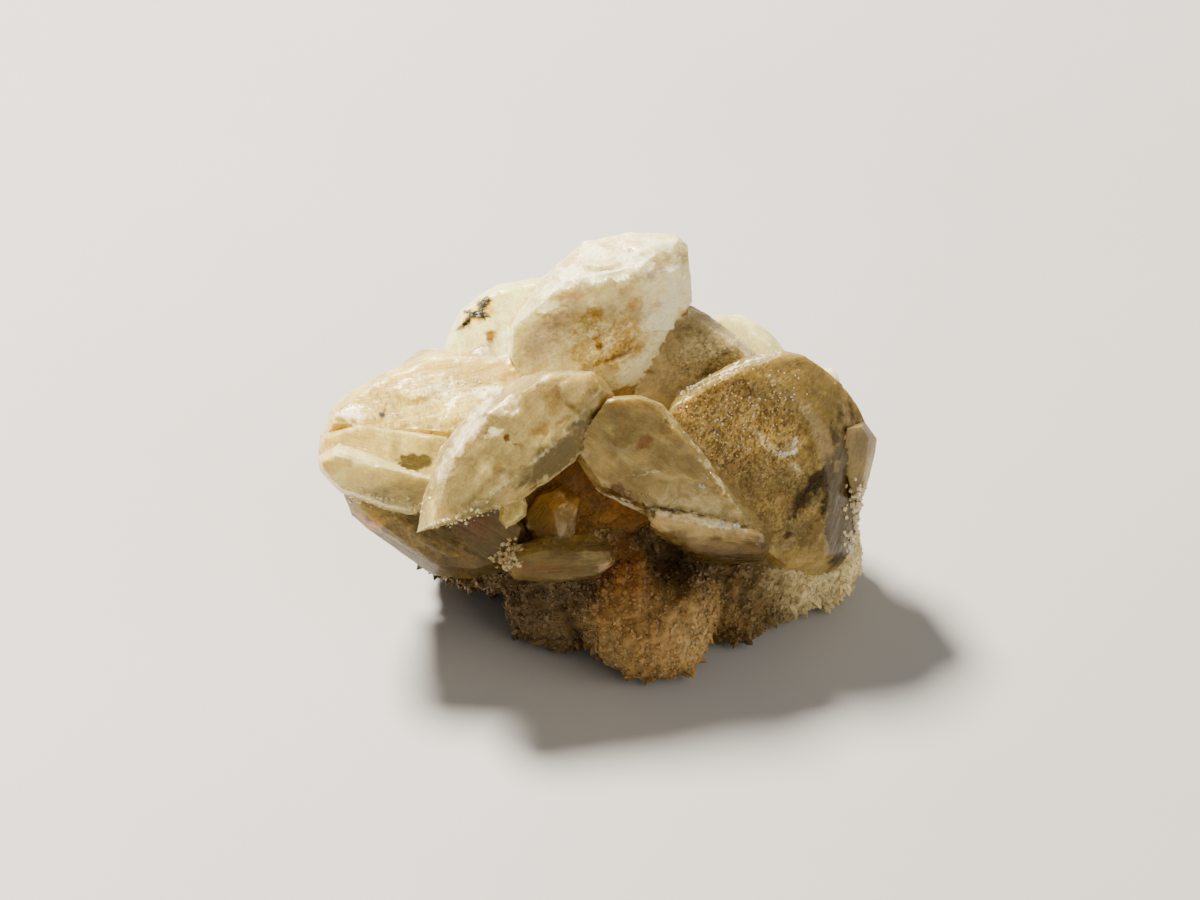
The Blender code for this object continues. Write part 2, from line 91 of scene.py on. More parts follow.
CRYSTALS = [
    Crystal("top block", 3.0, (0.05, 0.10), 2.2, 7.0, 1.6, [
        (-5.0, 5.3, 0.3), (-4.9, 6.7, 0.3), (-3.0, 9.4, 1.1), (-0.9, 11.2, 2.0), (1.6, 11.7, 1.8),
        (4.1, 11.6, 1.0), (4.7, 11.0, 2.6), (5.0, 7.9, 1.5), (2.4, 3.5, 1.6), (0.8, 2.9, 0.3),
        (-2.2, 2.5, 0.15), (-4.3, 3.3, 0.15),
    ]),
    Crystal("pale shoulder", 0.6, (0.30, -0.35), 1.4, 6.0, 1.2, [
        (-8.5, 5.3, 0.4), (-8.3, 6.2, 0.4), (-7.6, 7.6, 0.5), (-6.6, 8.4, 0.4), (-5.6, 9.0, 0.4),
        (-3.2, 9.4, 0.4), (-1.3, 8.6, 0.3), (-1.3, 4.6, 0.3), (-8.1, 4.0, 0.3),
    ]),
    Crystal("left slab", 2.2, (0.15, -0.50), 2.2, 5.0, 1.4, [
        (-15.1, 0.0, 0.5), (-14.9, 1.1, 0.5), (-14.5, 2.4, 0.6), (-13.5, 3.2, 0.4), (-11.9, 4.1, 0.4),
        (-10.3, 4.9, 0.3), (-9.3, 5.3, 0.3), (-4.7, 5.3, 0.3), (-3.0, 3.9, 0.3), (-3.0, 1.6, 1.6),
        (-8.6, -1.0, 2.0), (-13.8, -0.6, 1.2),
    ]),
    Crystal("left ledge", 3.4, (0.10, -0.30), 1.0, 4.0, 0.8, [
        (-15.1, -0.1, 0.3), (-15.0, 0.8, 0.3), (-12.9, 1.55, 0.3), (-8.0, 0.9, 0.3), (-7.1, -1.0, 0.4),
        (-8.6, -1.9, 0.5), (-13.5, -1.7, 0.4), (-14.8, -1.2, 0.3),
    ]),
    Crystal("left lower step", 3.8, (0.10, 0.35), 1.2, 4.0, 0.8, [
        (-15.1, -0.3, 0.4), (-13.9, 0.3, 0.6), (-8.8, -1.0, 0.4), (-8.3, -2.6, 0.3), (-10.1, -3.5, 0.3),
        (-11.5, -3.2, 0.3), (-13.9, -2.3, 0.3), (-14.6, -1.6, 0.3), (-15.0, -1.1, 0.3),
    ]),
    Crystal("front blade", 6.2, (0.05, -0.15), 1.5, 4.0, 0.9, [
        (-9.7, -4.4, 0.7), (-9.4, -2.6, 0.9), (-8.5, 0.1, 0.9), (-6.6, 2.4, 0.8), (-4.2, 3.9, 0.3),
        (-3.0, 4.2, 0.2), (-0.4, 4.2, 0.25), (0.3, 3.7, 0.4), (0.8, 2.9, 0.7), (0.2, 1.3, 1.3),
        (-1.2, -0.5, 1.3), (-2.6, -1.6, 1.1), (-4.1, -2.6, 0.25), (-6.8, -3.6, 0.2),
    ]),
    Crystal("front knob", 5.0, (0.0, 0.1), 0.7, 2.5, 0.4, [
        (-5.4, -3.7, 0.2), (-5.2, -2.6, 0.2), (-4.1, -2.1, 0.2), (-3.8, -2.9, 0.2), (-3.9, -3.5, 0.2),
        (-4.5, -3.95, 0.2), (-5.0, -4.2, 0.2),
    ]),
    Crystal("middle wedge", 4.3, (-0.10, 0.35), 1.2, 4.5, 1.0, [
        (-1.2, -0.6, 0.2), (-0.9, 1.1, 0.15), (0.3, 2.8, 0.15), (2.2, 2.9, 0.2), (3.3, 2.5, 0.35),
        (5.0, 0.5, 0.4), (6.95, -1.85, 0.4), (8.5, -3.9, 0.3), (8.8, -4.6, 0.3), (7.8, -5.0, 0.4),
        (5.4, -4.6, 0.4), (2.4, -3.5, 0.5), (-0.1, -2.3, 0.4),
    ]),
    Crystal("middle foot", 3.3, (0.0, 0.70), 0.8, 3.5, 0.6, [
        (2.2, -2.7, 1.1), (8.6, -4.2, 0.3), (9.1, -5.3, 0.3), (8.8, -6.0, 0.5), (6.5, -6.2, 0.5),
        (4.9, -5.9, 0.5), (2.7, -4.3, 0.4),
    ]),
    Crystal("right block", 2.2, (-0.20, 0.25), 2.2, 7.0, 1.6, [
        (4.1, 3.0, 0.5), (5.8, 4.0, 0.6), (7.7, 5.0, 0.6), (9.9, 5.35, 0.8), (10.9, 5.1, 1.4),
        (11.9, 4.5, 2.2), (13.1, 3.5, 2.6), (13.9, 2.4, 2.6), (14.4, 1.4, 2.4), (14.5, 0.5, 2.0),
        (14.3, -2.2, 1.6), (14.0, -4.3, 1.2), (13.6, -5.7, 1.1), (12.9, -6.5, 1.1), (11.4, -7.2, 1.2),
        (9.9, -7.4, 1.0), (9.0, -6.7, 0.15), (7.0, -4.0, 0.12), (3.4, 1.6, 0.12),
    ]),
    Crystal("upper plate", 1.2, (0.0, 0.10), 1.0, 6.0, 1.2, [
        (1.3, 2.7, 0.4), (2.2, 5.4, 0.4), (3.7, 7.4, 0.5), (4.9, 7.8, 0.5), (5.7, 7.4, 0.6),
        (7.0, 6.5, 0.5), (8.4, 5.3, 0.4), (8.6, 3.2, 0.4), (6.5, 1.6, 0.4), (2.7, 1.3, 0.4),
    ]),
    Crystal("upper right pale", -1.0, (-0.10, -0.35), 0.9, 5.0, 1.0, [
        (5.4, 5.9, 0.3), (5.7, 7.1, 0.3), (6.6, 7.4, 0.3), (7.7, 7.4, 0.4), (8.5, 7.0, 0.6),
        (9.3, 6.4, 0.5), (10.2, 5.3, 0.3), (9.9, 3.8, 0.3), (7.0, 3.2, 0.3),
    ]),
    Crystal("right chip", -1.6, (-0.2, -0.2), 0.6, 3.0, 0.5, [
        (11.4, 3.1, 0.2), (12.0, 4.4, 0.2), (12.6, 4.5, 0.2), (12.95, 4.25, 0.2), (13.2, 3.5, 0.2),
        (13.2, 2.7, 0.2), (12.1, 2.2, 0.2),
    ]),
    Crystal("right edge strip", 0.4, (-0.35, 0.20), 0.9, 5.0, 0.8, [
        (13.0, 1.4, 0.3), (14.3, 1.6, 0.4), (15.0, 0.6, 0.5), (14.9, -0.2, 0.4), (14.6, -1.5, 0.3),
        (14.3, -2.5, 0.3), (13.5, -3.0, 0.3), (12.8, -0.5, 0.3),
    ]),
    Crystal("lower left block", 1.8, (0.10, 0.50), 1.2, 6.0, 1.2, [
        (-13.8, -2.4, 0.5), (-13.2, -1.4, 0.2), (-10.8, -1.0, 0.2), (-6.4, -1.8, 0.2), (-3.9, -4.2, 0.3),
        (-4.6, -6.3, 0.5), (-7.0, -7.0, 0.6), (-9.1, -6.8, 0.7), (-10.6, -5.7, 0.7), (-12.3, -4.5, 0.7),
        (-13.4, -3.5, 0.7),
    ]),
    Crystal("sill", 2.6, (0.05, 0.35), 0.8, 3.5, 0.8, [
        (-5.3, -6.2, 0.2), (-4.9, -5.2, 0.7), (-2.6, -4.5, 0.9), (-0.4, -4.5, 0.5), (0.6, -5.0, 0.2),
        (0.9, -6.0, 0.2), (-0.2, -6.9, 0.2), (-2.6, -7.2, 0.3), (-4.6, -7.0, 0.2),
    ]),
    Crystal("hollow window", 0.7, (-0.10, 0.15), 0.6, 4.0, 0.8, [
        (-4.6, -3.0, 0.1), (-2.6, 0.6, 0.1), (0.6, 0.6, 0.1), (2.4, -2.4, 0.1), (2.8, -4.0, 0.2),
        (1.6, -4.9, 0.2), (-0.6, -5.6, 0.1), (-4.2, -5.1, 0.1),
    ]),
    Crystal("hollow shard", 1.9, (0.25, 0.10), 0.7, 3.5, 0.6, [
        (-4.2, -3.6, 0.2), (-3.4, -2.2, 0.3), (-1.9, -1.7, 0.6), (-1.1, -2.6, 0.7), (-1.3, -4.6, 0.3),
        (-3.2, -5.4, 0.2),
    ]),
    Crystal("back blade", 9.0, (0.05, -0.10), 1.6, 5.4, 1.6, [
        (-4.4, -3.0, 0.4), (-4.6, 1.0, 0.5), (-2.8, 5.0, 0.5), (0.2, 6.0, 1.6), (3.4, 4.2, 2.4),
        (5.2, 0.6, 2.6), (3.6, -5.0, 1.6), (-1.5, -6.0, 0.8),
    ], 180.0, 22.0),
    Crystal("back right block", 6.0, (0.30, -0.15), 1.4, 6.0, 1.4, [
        (-12.6, -3.2, 1.8), (-12.4, -0.6, 1.6), (-10.5, 1.0, 0.4), (-6.6, 2.2, 0.4), (-3.6, 1.2, 0.5),
        (-3.4, -3.0, 2.2), (-6.8, -7.8, 1.6), (-11.0, -6.8, 1.8),
    ], 180.0, 22.0),
    Crystal("back left block", 5.8, (-0.30, -0.20), 1.4, 6.0, 1.4, [
        (3.0, -1.0, 0.4), (3.8, 2.8, 0.4), (6.0, 3.9, 0.4), (9.2, 2.4, 1.2), (12.2, -0.8, 2.2),
        (12.4, -2.6, 2.4), (8.6, -6.8, 1.2), (4.5, -5.8, 0.5),
    ], 180.0, 22.0),
    Crystal("back shelf", 7.4, (-0.12, 0.30), 1.0, 5.0, 1.0, [
        (-4.6, -6.2, 1.0), (-3.4, -3.6, 0.4), (2.6, -2.0, 0.4), (5.0, -3.2, 0.5), (4.4, -6.6, 1.2),
        (1.4, -8.6, 1.4), (-2.4, -8.6, 1.4),
    ], 180.0, 22.0),
    Crystal("left flank blade", 11.6, (0.0, 0.15), 1.2, 6.0, 1.2, [
        (-5.8, -5.6, 0.4), (-4.8, -2.2, 0.4), (-1.4, -0.9, 0.5), (2.2, -1.9, 1.4), (3.8, -4.6, 1.8),
        (1.6, -7.6, 1.0), (-3.2, -8.2, 0.8),
    ], 250.0, 15.0),
    Crystal("right flank blade", 12.0, (0.0, 0.1), 1.4, 6.0, 1.2, [
        (-3.6, -5.6, 0.5), (-3.0, -1.6, 0.5), (0.2, -0.4, 0.6), (4.0, -1.0, 1.6), (6.0, -4.0, 1.8),
        (3.6, -7.8, 1.0), (-0.8, -8.2, 0.8),
    ], 100.0, 12.0),
    Crystal("heart", -0.2, (0.0, 0.0), 2.4, 8.8, 2.0, [
        (-8.5, -2.0, 1.5), (-8.0, 2.0, 1.5), (-3.0, 5.5, 1.5), (3.0, 6.0, 1.5), (8.5, 3.0, 1.5),
        (9.5, -1.0, 1.5), (6.0, -4.0, 1.5), (0.0, -5.0, 1.5), (-6.0, -4.0, 1.5),
    ], 0.0, 20.0),
]

# The druse's lumps (centre, radii), as in the CAD model.
LUMPS = [
    ((1.6, 1.2, 3.4), (7.9, 6.2, 4.2)),
    ((2.6, -3.9, 2.5), (3.6, 3.7, 3.2)),
    ((-1.7, -2.2, 1.9), (2.9, 2.4, 2.2)),
    ((7.0, -2.3, 1.8), (2.6, 2.3, 2.1)),
    ((12.0, 0.7, 2.7), (1.9, 2.7, 2.8)),
    ((-5.3, 1.4, 4.6), (5.1, 4.5, 3.5)),
    ((8.6, 0.6, 3.5), (4.5, 4.7, 3.7)),
    ((-1.2, 5.2, 4.2), (7.0, 3.3, 4.4)),
    ((7.0, 3.8, 3.8), (4.7, 3.7, 3.8)),
]
LUMP_SWELL = 0.8         # most that noise lifts or sinks a lump's surface
LUMP_SWELL_SCALE = 0.35  # how fast that noise changes, per millimetre
PIT = ((3.7, -5.6, 6.2), (1.5, 3.4, 1.7))  # the dark hollow over the front lump: centre, radii


@dataclass
class Look:
    """How one crystal's substance looks, and the way that its growth lines run, in degrees from right."""

    colour: tuple
    clearness: float
    lines: float
    frost: float = 0.4       # how white and rough its upward faces are, partly as painted light on the tops
    roughness: float = 0.16
    layers: float = 0.04     # how far its layers stand out on its sides
    ledges: int = 1          # most broken ledges along one side of its front face


LOOKS = {
    "top block": Look(rgb(246, 228, 166), 0.36, 32, 0.62, ledges=0),
    "pale shoulder": Look(rgb(252, 242, 164), 0.22, 20, 0.25, ledges=0),
    "left slab": Look(rgb(232, 202, 100), 0.40, 12, 0.22, 0.2, 0.03, 0),
    "left ledge": Look(rgb(224, 202, 112), 0.50, -10, 0.3, 0.16, 0.04, 0),
    "left lower step": Look(rgb(238, 222, 150), 0.50, -18, 0.3, 0.16, 0.04, 0),
    "front blade": Look(rgb(188, 168, 104), 0.52, 48, 0.3, 0.16, 0.012, 0),
    "front knob": Look(rgb(196, 176, 104), 0.55, 80, 0.4),
    "middle wedge": Look(rgb(172, 150, 90), 0.50, -40, 0.15, ledges=0),
    "middle foot": Look(rgb(72, 54, 18), 0.30, -8, 0.0, 0.2, 0.08, 0),
    "right block": Look(rgb(172, 150, 88), 0.68, 66, 0.05, 0.12, 0.03, 0),
    "upper plate": Look(rgb(184, 170, 128), 0.45, 30, 0.2, 0.14, ledges=0),
    "upper right pale": Look(rgb(234, 222, 150), 0.35, -20, 0.35, ledges=0),
    "right chip": Look(rgb(240, 230, 186), 0.15, 70, 0.6, ledges=0),
    "right edge strip": Look(rgb(146, 126, 82), 0.40, 85, 0.1, 0.3, 0.02, 0),
    "lower left block": Look(rgb(80, 62, 16), 0.15, -35, 0.0, 0.25, ledges=0),
    "sill": Look(rgb(112, 92, 46), 0.35, 5, 0.0, 0.22, ledges=0),
    "hollow window": Look(rgb(146, 100, 14), 0.45, 30, 0.0, 0.25, ledges=0),
    "hollow shard": Look(rgb(140, 106, 36), 0.45, 60, 0.05, 0.2, ledges=0),
    "back blade": Look(rgb(206, 184, 114), 0.50, 70, 0.5, ledges=2),
    "back right block": Look(rgb(166, 140, 68), 0.65, 100, 0.3, ledges=2),
    "back left block": Look(rgb(212, 194, 126), 0.50, 40, 0.6, ledges=2),
    "back shelf": Look(rgb(180, 154, 86), 0.55, 10, 0.5, 0.16, 0.06, 2),
    "left flank blade": Look(rgb(206, 186, 114), 0.50, 20, 0.5, ledges=2),
    "right flank blade": Look(rgb(160, 132, 66), 0.60, 60, 0.4, ledges=2),
    "heart": Look(rgb(146, 118, 56), 0.50, 30, 0.2),
    # The pit's dark brown is painted shade in the hollow.
    "pit": Look(rgb(50, 32, 12), 0.20, 0, 0.0, 0.4),
}

# Stains in the crystals' faces: (right, up), radii, turn in degrees, colour, strength. Later ones cover
# earlier ones. A few pale ones are painted light, as marked below.
STAINS_AND_PAINTED_LIGHT = {
    "top block": [
        ((0.3, 5.7), (2.5, 1.6), 24, rgb(194, 166, 88), 0.42),
        ((1.6, 6.2), (0.8, 1.3), -10, rgb(188, 148, 66), 0.50),
        ((-0.7, 6.8), (1.2, 0.6), 10, rgb(168, 142, 66), 0.60),
        ((-0.2, 7.3), (0.7, 0.3), -20, rgb(166, 128, 46), 0.60),
        ((0.9, 4.9), (1.7, 0.5), 22, rgb(180, 144, 58), 0.55),
        ((-0.9, 5.0), (0.8, 0.9), 20, rgb(178, 152, 76), 0.50),
        ((1.0, 5.05), (1.2, 0.14), 24, rgb(134, 92, 26), 0.9),
        ((-0.6, 4.4), (0.5, 0.16), 20, rgb(126, 92, 24), 1.0),
        ((-0.2, 6.0), (0.4, 0.3), 10, rgb(160, 120, 44), 0.7),
        ((0.0, 5.5), (0.16, 0.18), 10, rgb(120, 76, 24), 1.1),
        ((2.0, 7.8), (0.5, 0.35), 30, rgb(204, 160, 90), 0.65),
        ((-1.3, 8.5), (0.8, 0.35), 20, rgb(206, 172, 114), 0.7),
        ((-2.8, 6.2), (0.8, 1.3), -20, rgb(188, 166, 122), 0.55),
        ((-2.4, 9.4), (0.7, 0.5), 40, rgb(206, 184, 142), 0.8),
        ((0.3, 11.0), (0.7, 0.25), 0, rgb(204, 186, 130), 0.9),
        ((2.0, 10.7), (0.9, 0.35), 20, rgb(208, 190, 148), 0.8),
        ((0.2, 9.6), (0.7, 0.35), 10, rgb(206, 188, 146), 0.7),
        ((2.5, 9.5), (0.7, 0.7), 40, rgb(180, 176, 138), 0.7),
        # Painted light: the glow of the top block's right facet.
        ((3.6, 7.0), (0.8, 2.6), -14, rgb(255, 243, 202), 0.9),
        ((1.7, 4.3), (1.0, 0.7), 30, rgb(255, 245, 190), 1.0),
    ],
    "pale shoulder": [
        ((-6.5, 7.4), (1.1, 0.55), 40, rgb(220, 176, 44), 1.0),
        ((-6.95, 7.05), (0.75, 0.17), 38, rgb(14, 14, 10), 1.7),
        ((-6.5, 7.6), (0.70, 0.16), 52, rgb(14, 14, 10), 1.7),
        ((-6.25, 7.95), (0.35, 0.14), 8, rgb(14, 14, 10), 1.7),
        ((-7.1, 7.45), (0.32, 0.14), -30, rgb(20, 20, 14), 1.6),
        ((-6.2, 7.2), (0.30, 0.13), -15, rgb(30, 26, 12), 1.5),
        ((-5.85, 6.2), (0.34, 0.26), 0, rgb(136, 94, 8), 1.3),
        ((-5.5, 6.5), (0.22, 0.8), 0, rgb(214, 184, 84), 0.6),
    ],
    "left slab": [
        ((-5.5, 4.9), (1.3, 0.4), -4, rgb(196, 164, 98), 0.9),
        ((-11.6, 1.85), (0.24, 0.22), 0, rgb(66, 60, 48), 1.5),
        ((-12.6, 0.7), (0.5, 0.35), 0, rgb(150, 138, 96), 0.5),
    ],
    "left ledge": [
        ((-10.0, -0.7), (1.1, 0.40), 14, rgb(98, 84, 36), 1.4),
        ((-14.8, -0.5), (0.5, 1.2), 0, rgb(220, 178, 76), 0.6),
    ],
    "left lower step": [((-14.6, -0.8), (0.5, 0.9), 0, rgb(216, 178, 76), 0.6)],
    "front blade": [
        ((-6.9, 1.1), (3.2, 0.5), 57, rgb(250, 238, 202), 0.65),
        ((-2.6, 2.7), (0.5, 0.6), 20, rgb(142, 106, 42), 1.1),
        ((-2.2, 3.05), (0.24, 0.30), 0, rgb(92, 54, 18), 1.4),
        ((-3.1, 1.1), (0.50, 0.34), 30, rgb(136, 100, 32), 1.0),
        ((-2.0, 1.5), (0.5, 0.16), 30, rgb(112, 84, 40), 1.2),
        ((-1.25, 1.35), (0.6, 0.17), 18, rgb(60, 54, 32), 1.2),
        ((-4.95, 0.6), (0.20, 0.16), 0, rgb(96, 62, 14), 1.5),
        ((-4.3, 0.2), (0.35, 0.14), -20, rgb(122, 96, 40), 1.2),
        ((-5.3, -0.9), (0.22, 0.4), 20, rgb(150, 124, 62), 0.8),
        ((-2.6, 2.2), (2.0, 1.4), 30, rgb(164, 142, 88), 0.45),
        ((0.0, 3.3), (0.6, 1.0), 24, rgb(140, 118, 60), 1.3),
        ((-2.3, -0.4), (2.3, 0.9), 36, rgb(92, 78, 28), 1.1),
        ((-0.4, 1.4), (1.1, 0.8), 44, rgb(100, 84, 34), 0.9),
    ],
    "middle wedge": [
        ((2.3, 0.4), (0.55, 0.35), 30, rgb(122, 86, 32), 0.85),
        ((3.4, 1.1), (0.8, 0.4), -50, rgb(128, 102, 50), 0.6),
        ((1.2, 1.6), (0.4, 0.6), 0, rgb(150, 116, 54), 0.4),
        ((1.0, -2.5), (1.3, 0.6), -30, rgb(84, 56, 16), 1.0),
        ((4.4, -1.9), (2.4, 1.0), -24, rgb(194, 174, 116), 0.25),
        # Painted light: the bright band low on the wedge.
        ((5.4, -3.1), (2.3, 0.9), -14, rgb(208, 186, 130), 0.65),
    ],
    "right block": [
        ((11.7, -1.5), (1.5, 0.5), 26, rgb(62, 46, 8), 0.80),
        ((10.8, -2.7), (1.3, 0.5), 50, rgb(68, 50, 12), 0.72),
        ((12.2, -1.2), (0.7, 0.14), 60, rgb(38, 26, 2), 0.9),
        ((11.7, -1.7), (0.8, 0.15), 64, rgb(36, 24, 2), 0.95),
        ((11.2, -2.1), (0.8, 0.14), 62, rgb(38, 26, 2), 0.9),
        ((10.6, -3.0), (0.8, 0.13), 66, rgb(44, 32, 4), 0.8),
        ((12.7, -2.2), (1.1, 0.12), 74, rgb(70, 52, 14), 0.7),
        ((12.2, -2.7), (1.1, 0.12), 72, rgb(78, 58, 18), 0.6),
        ((8.0, 0.6), (2.2, 1.6), 20, rgb(172, 122, 50), 0.35),
        ((10.2, -4.6), (0.36, 0.18), 0, rgb(72, 44, 10), 1.4),
        ((11.3, -6.2), (2.2, 1.2), 0, rgb(178, 152, 84), 0.6),
        ((12.2, 1.6), (1.4, 2.0), 20, rgb(122, 104, 44), 0.5),
        ((13.6, -2.8), (1.0, 4.0), 4, rgb(80, 62, 16), 1.5),
        ((12.8, -3.4), (0.8, 3.2), 2, rgb(60, 46, 8), 1.3),
    ],
    "middle foot": [
        ((5.6, -4.6), (3.0, 0.8), -8, rgb(100, 77, 36), 1.5),
        # Painted light: the bright band at the foot's top, over its shade.
        ((5.1, -4.0), (2.9, 0.55), -8, rgb(198, 170, 110), 1.2),
        ((6.0, -5.0), (1.5, 0.13), -6, rgb(150, 124, 70), 0.45),
        ((7.3, -4.8), (0.8, 0.13), 0, rgb(156, 130, 76), 0.45),
        ((6.6, -5.4), (1.7, 0.13), -4, rgb(78, 56, 20), 0.6),
    ],
    "upper plate": [
        ((6.4, 4.4), (1.3, 0.8), 20, rgb(98, 78, 30), 0.65),
        ((4.4, 6.2), (0.8, 0.6), 20, rgb(110, 90, 40), 0.5),
    ],
    "lower left block": [
        ((-12.8, -3.0), (1.5, 1.3), -40, rgb(152, 128, 56), 0.75),
        ((-10.6, -4.3), (2.2, 0.8), -38, rgb(142, 120, 56), 0.45),
        ((-12.4, -3.85), (0.75, 0.42), -20, rgb(168, 116, 20), 1.0),
        ((-12.5, -3.75), (0.22, 0.18), 0, rgb(84, 42, 10), 1.2),
        ((-6.6, -4.2), (1.1, 0.8), 0, rgb(84, 44, 8), 0.65),
        ((-8.7, -5.3), (0.9, 0.13), -48, rgb(52, 40, 8), 0.7),
        ((-9.4, -5.0), (0.8, 0.13), -46, rgb(58, 44, 10), 0.6),
        ((-7.4, -5.6), (1.3, 0.5), -30, rgb(112, 88, 40), 0.5),
    ],
    "sill": [
        ((-2.9, -6.3), (1.7, 0.35), 0, rgb(118, 82, 38), 0.7),
        ((-0.4, -5.7), (0.9, 0.4), 0, rgb(150, 134, 80), 0.7),
        ((0.3, -6.3), (0.35, 0.3), 0, rgb(180, 152, 120), 0.8),
        ((-3.6, -5.6), (1.0, 0.4), 0, rgb(128, 110, 62), 0.6),
    ],
}

# White patches: (right, up), radii, turn in degrees, strength. Some are white fractured patches; the
# others are painted light: highlights on small facets of the top block and the left slab, the glow of
# the top block's right facet, and the bright band low on the middle wedge and the middle foot.
VEILS_AND_PAINTED_LIGHT = {
    "top block": [
        ((-1.3, 9.5), (1.0, 0.35), 4, 1.0), ((-2.4, 8.7), (0.9, 0.4), 40, 0.7),
        ((-0.9, 8.7), (1.2, 0.3), 14, 0.7), ((1.0, 9.0), (1.0, 0.35), 14, 0.6),
        ((2.4, 9.7), (0.9, 0.4), 24, 0.8), ((-0.2, 10.5), (0.9, 0.4), 8, 1.0),
        ((1.4, 10.2), (0.6, 0.3), 8, 1.0), ((3.2, 10.9), (1.1, 0.5), 0, 0.9),
        # Painted highlights on small facets, on this line and the next.
        ((3.7, 9.8), (0.8, 0.26), 30, 1.0), ((3.1, 6.75), (0.9, 0.30), 8, 1.0),
        ((-2.9, 7.9), (0.4, 0.16), 30, 1.0), ((-2.2, 7.5), (0.6, 0.12), 25, 0.9),
        ((-0.4, 9.2), (0.9, 0.2), 12, 0.8), ((1.4, 4.0), (1.0, 0.5), 30, 0.6),
        # Painted light: the glow of the right facet.
        ((2.9, 8.4), (0.5, 1.2), -30, 0.4), ((4.2, 8.6), (1.0, 1.4), -8, 0.75),
        ((3.0, 5.2), (0.7, 1.7), -30, 0.6), ((2.0, 4.1), (0.8, 0.5), 30, 0.9),
    ],
    "pale shoulder": [((-5.0, 5.9), (0.35, 0.6), 0, 0.9)],
    "left slab": [
        # Painted highlights on the top, on this line.
        ((-13.2, 1.8), (0.9, 0.25), -8, 1.0), ((-6.0, 3.1), (1.0, 0.3), 0, 1.0),
        ((-8.6, 3.2), (1.2, 0.4), 20, 0.5), ((-7.2, 1.4), (0.9, 0.4), 50, 0.7),
    ],
    "left ledge": [((-12.0, -0.9), (2.4, 0.14), -16, 0.9)],
    "front blade": [((-5.6, 0.9), (0.5, 0.16), 10, 0.8)],
    "middle wedge": [
        ((2.9, -1.2), (1.4, 0.10), 10, 0.4), ((5.75, -0.8), (3.3, 0.11), -57, 0.45),
        # Painted light on this line: the bright band low on the wedge.
        ((5.0, -3.9), (2.6, 0.5), -10, 0.6), ((7.6, -4.4), (0.9, 0.25), -12, 0.5),
        ((1.2, -2.8), (1.3, 0.2), -26, 0.6),
    ],
    "right block": [
        ((9.0, 0.2), (1.1, 0.24), -45, 0.5), ((10.1, -0.2), (0.6, 0.15), 34, 1.0),
        ((10.4, 0.5), (0.3, 0.14), 40, 0.8), ((10.4, -0.9), (0.5, 0.35), 0, 0.45),
        ((7.4, 4.5), (2.6, 0.09), 22, 0.7),
    ],
    "middle foot": [
        # Painted light along the foot's top edge.
        ((5.0, -3.7), (2.6, 0.26), -13, 0.35), ((6.4, -4.0), (1.2, 0.14), -8, 0.35),
    ],
    "sill": [((-4.6, -5.2), (0.4, 0.3), 0, 0.5)],
}

# Small plates that stand up from a crystal's face: (right, up), radii, turn in degrees, lift, and how far
# they tilt, along (right, up).
PLATES = {
    "top block": [
        ((3.9, 9.85), (0.7, 0.30), 30, 0.10, (-0.6, 1.8)),
        ((3.1, 6.75), (0.9, 0.32), 8, 0.12, (-0.5, 1.9)),
        ((-2.5, 7.7), (0.9, 0.26), 28, 0.08, (-0.3, 1.4)),
        ((0.4, 10.2), (1.5, 0.6), 10, 0.12, (0.1, 0.4)),
        ((-2.9, 8.3), (0.7, 0.3), 40, 0.12, (-0.4, 1.5)),
        ((-1.6, 8.9), (0.8, 0.34), 18, 0.12, (-0.3, 1.6)),
        ((-0.2, 9.1), (0.8, 0.3), 6, 0.12, (-0.3, 1.5)),
        ((1.2, 9.3), (0.7, 0.32), 14, 0.12, (-0.4, 1.6)),
        ((2.4, 9.8), (0.7, 0.34), 28, 0.12, (-0.4, 1.6)),
        ((-1.5, 9.6), (1.0, 0.5), 20, 0.12, (0.1, 0.4)),
        ((2.4, 10.9), (1.0, 0.5), 0, 0.12, (-0.1, 0.4)),
        ((1.2, 4.2), (1.1, 0.7), 30, 0.08, (0.0, 0.2)),
    ],
    "left slab": [
        ((-7.0, 2.2), (1.8, 0.9), 40, 0.07, (0.1, 0.2)),
        ((-12.9, 1.9), (1.3, 0.5), -8, 0.07, (0.1, 0.3)),
        ((-9.6, 3.4), (1.4, 0.7), 20, 0.06, (0.0, 0.2)),
    ],
    "front blade": [
        ((-0.85, 3.0), (1.25, 0.85), -18, 0.13, (0.0, 0.12)),
        ((-6.8, -1.4), (0.9, 2.2), -36, 0.05, (0.0, 0.0)),
    ],
    "middle wedge": [
        ((3.6, -0.3), (2.8, 1.1), -14, 0.06, (0.0, 0.08)),
        ((1.2, 1.2), (1.3, 1.2), 0, 0.05, (0.0, 0.1)),
        ((5.6, -4.0), (2.9, 0.42), -12, 0.12, (0.0, 0.9)),
    ],
    "right block": [
        ((10.1, 0.2), (0.6, 0.3), -38, 0.08, (0.3, 0.6)),
        ((12.4, 0.6), (1.3, 2.6), 18, 0.07, (0.0, 0.0)),
        ((9.0, -4.5), (1.5, 1.1), 30, 0.05, (0.0, 0.1)),
    ],
    "upper plate": [((5.0, 5.6), (1.4, 1.1), 30, 0.07, (0.1, 0.2))],
    "lower left block": [((-9.4, -4.2), (2.6, 0.7), -36, 0.07, (0.0, 0.2))],
}

GOLD = (rgb(196, 146, 52), rgb(150, 100, 30), rgb(214, 178, 96), rgb(118, 78, 22))
# The pale flakes of CREAM just under the right block's face are painted glints; deeper ones are flakes.
CREAM = (rgb(246, 236, 206), rgb(232, 212, 166))
DARK = (rgb(40, 28, 4), rgb(60, 42, 8), rgb(30, 22, 4))
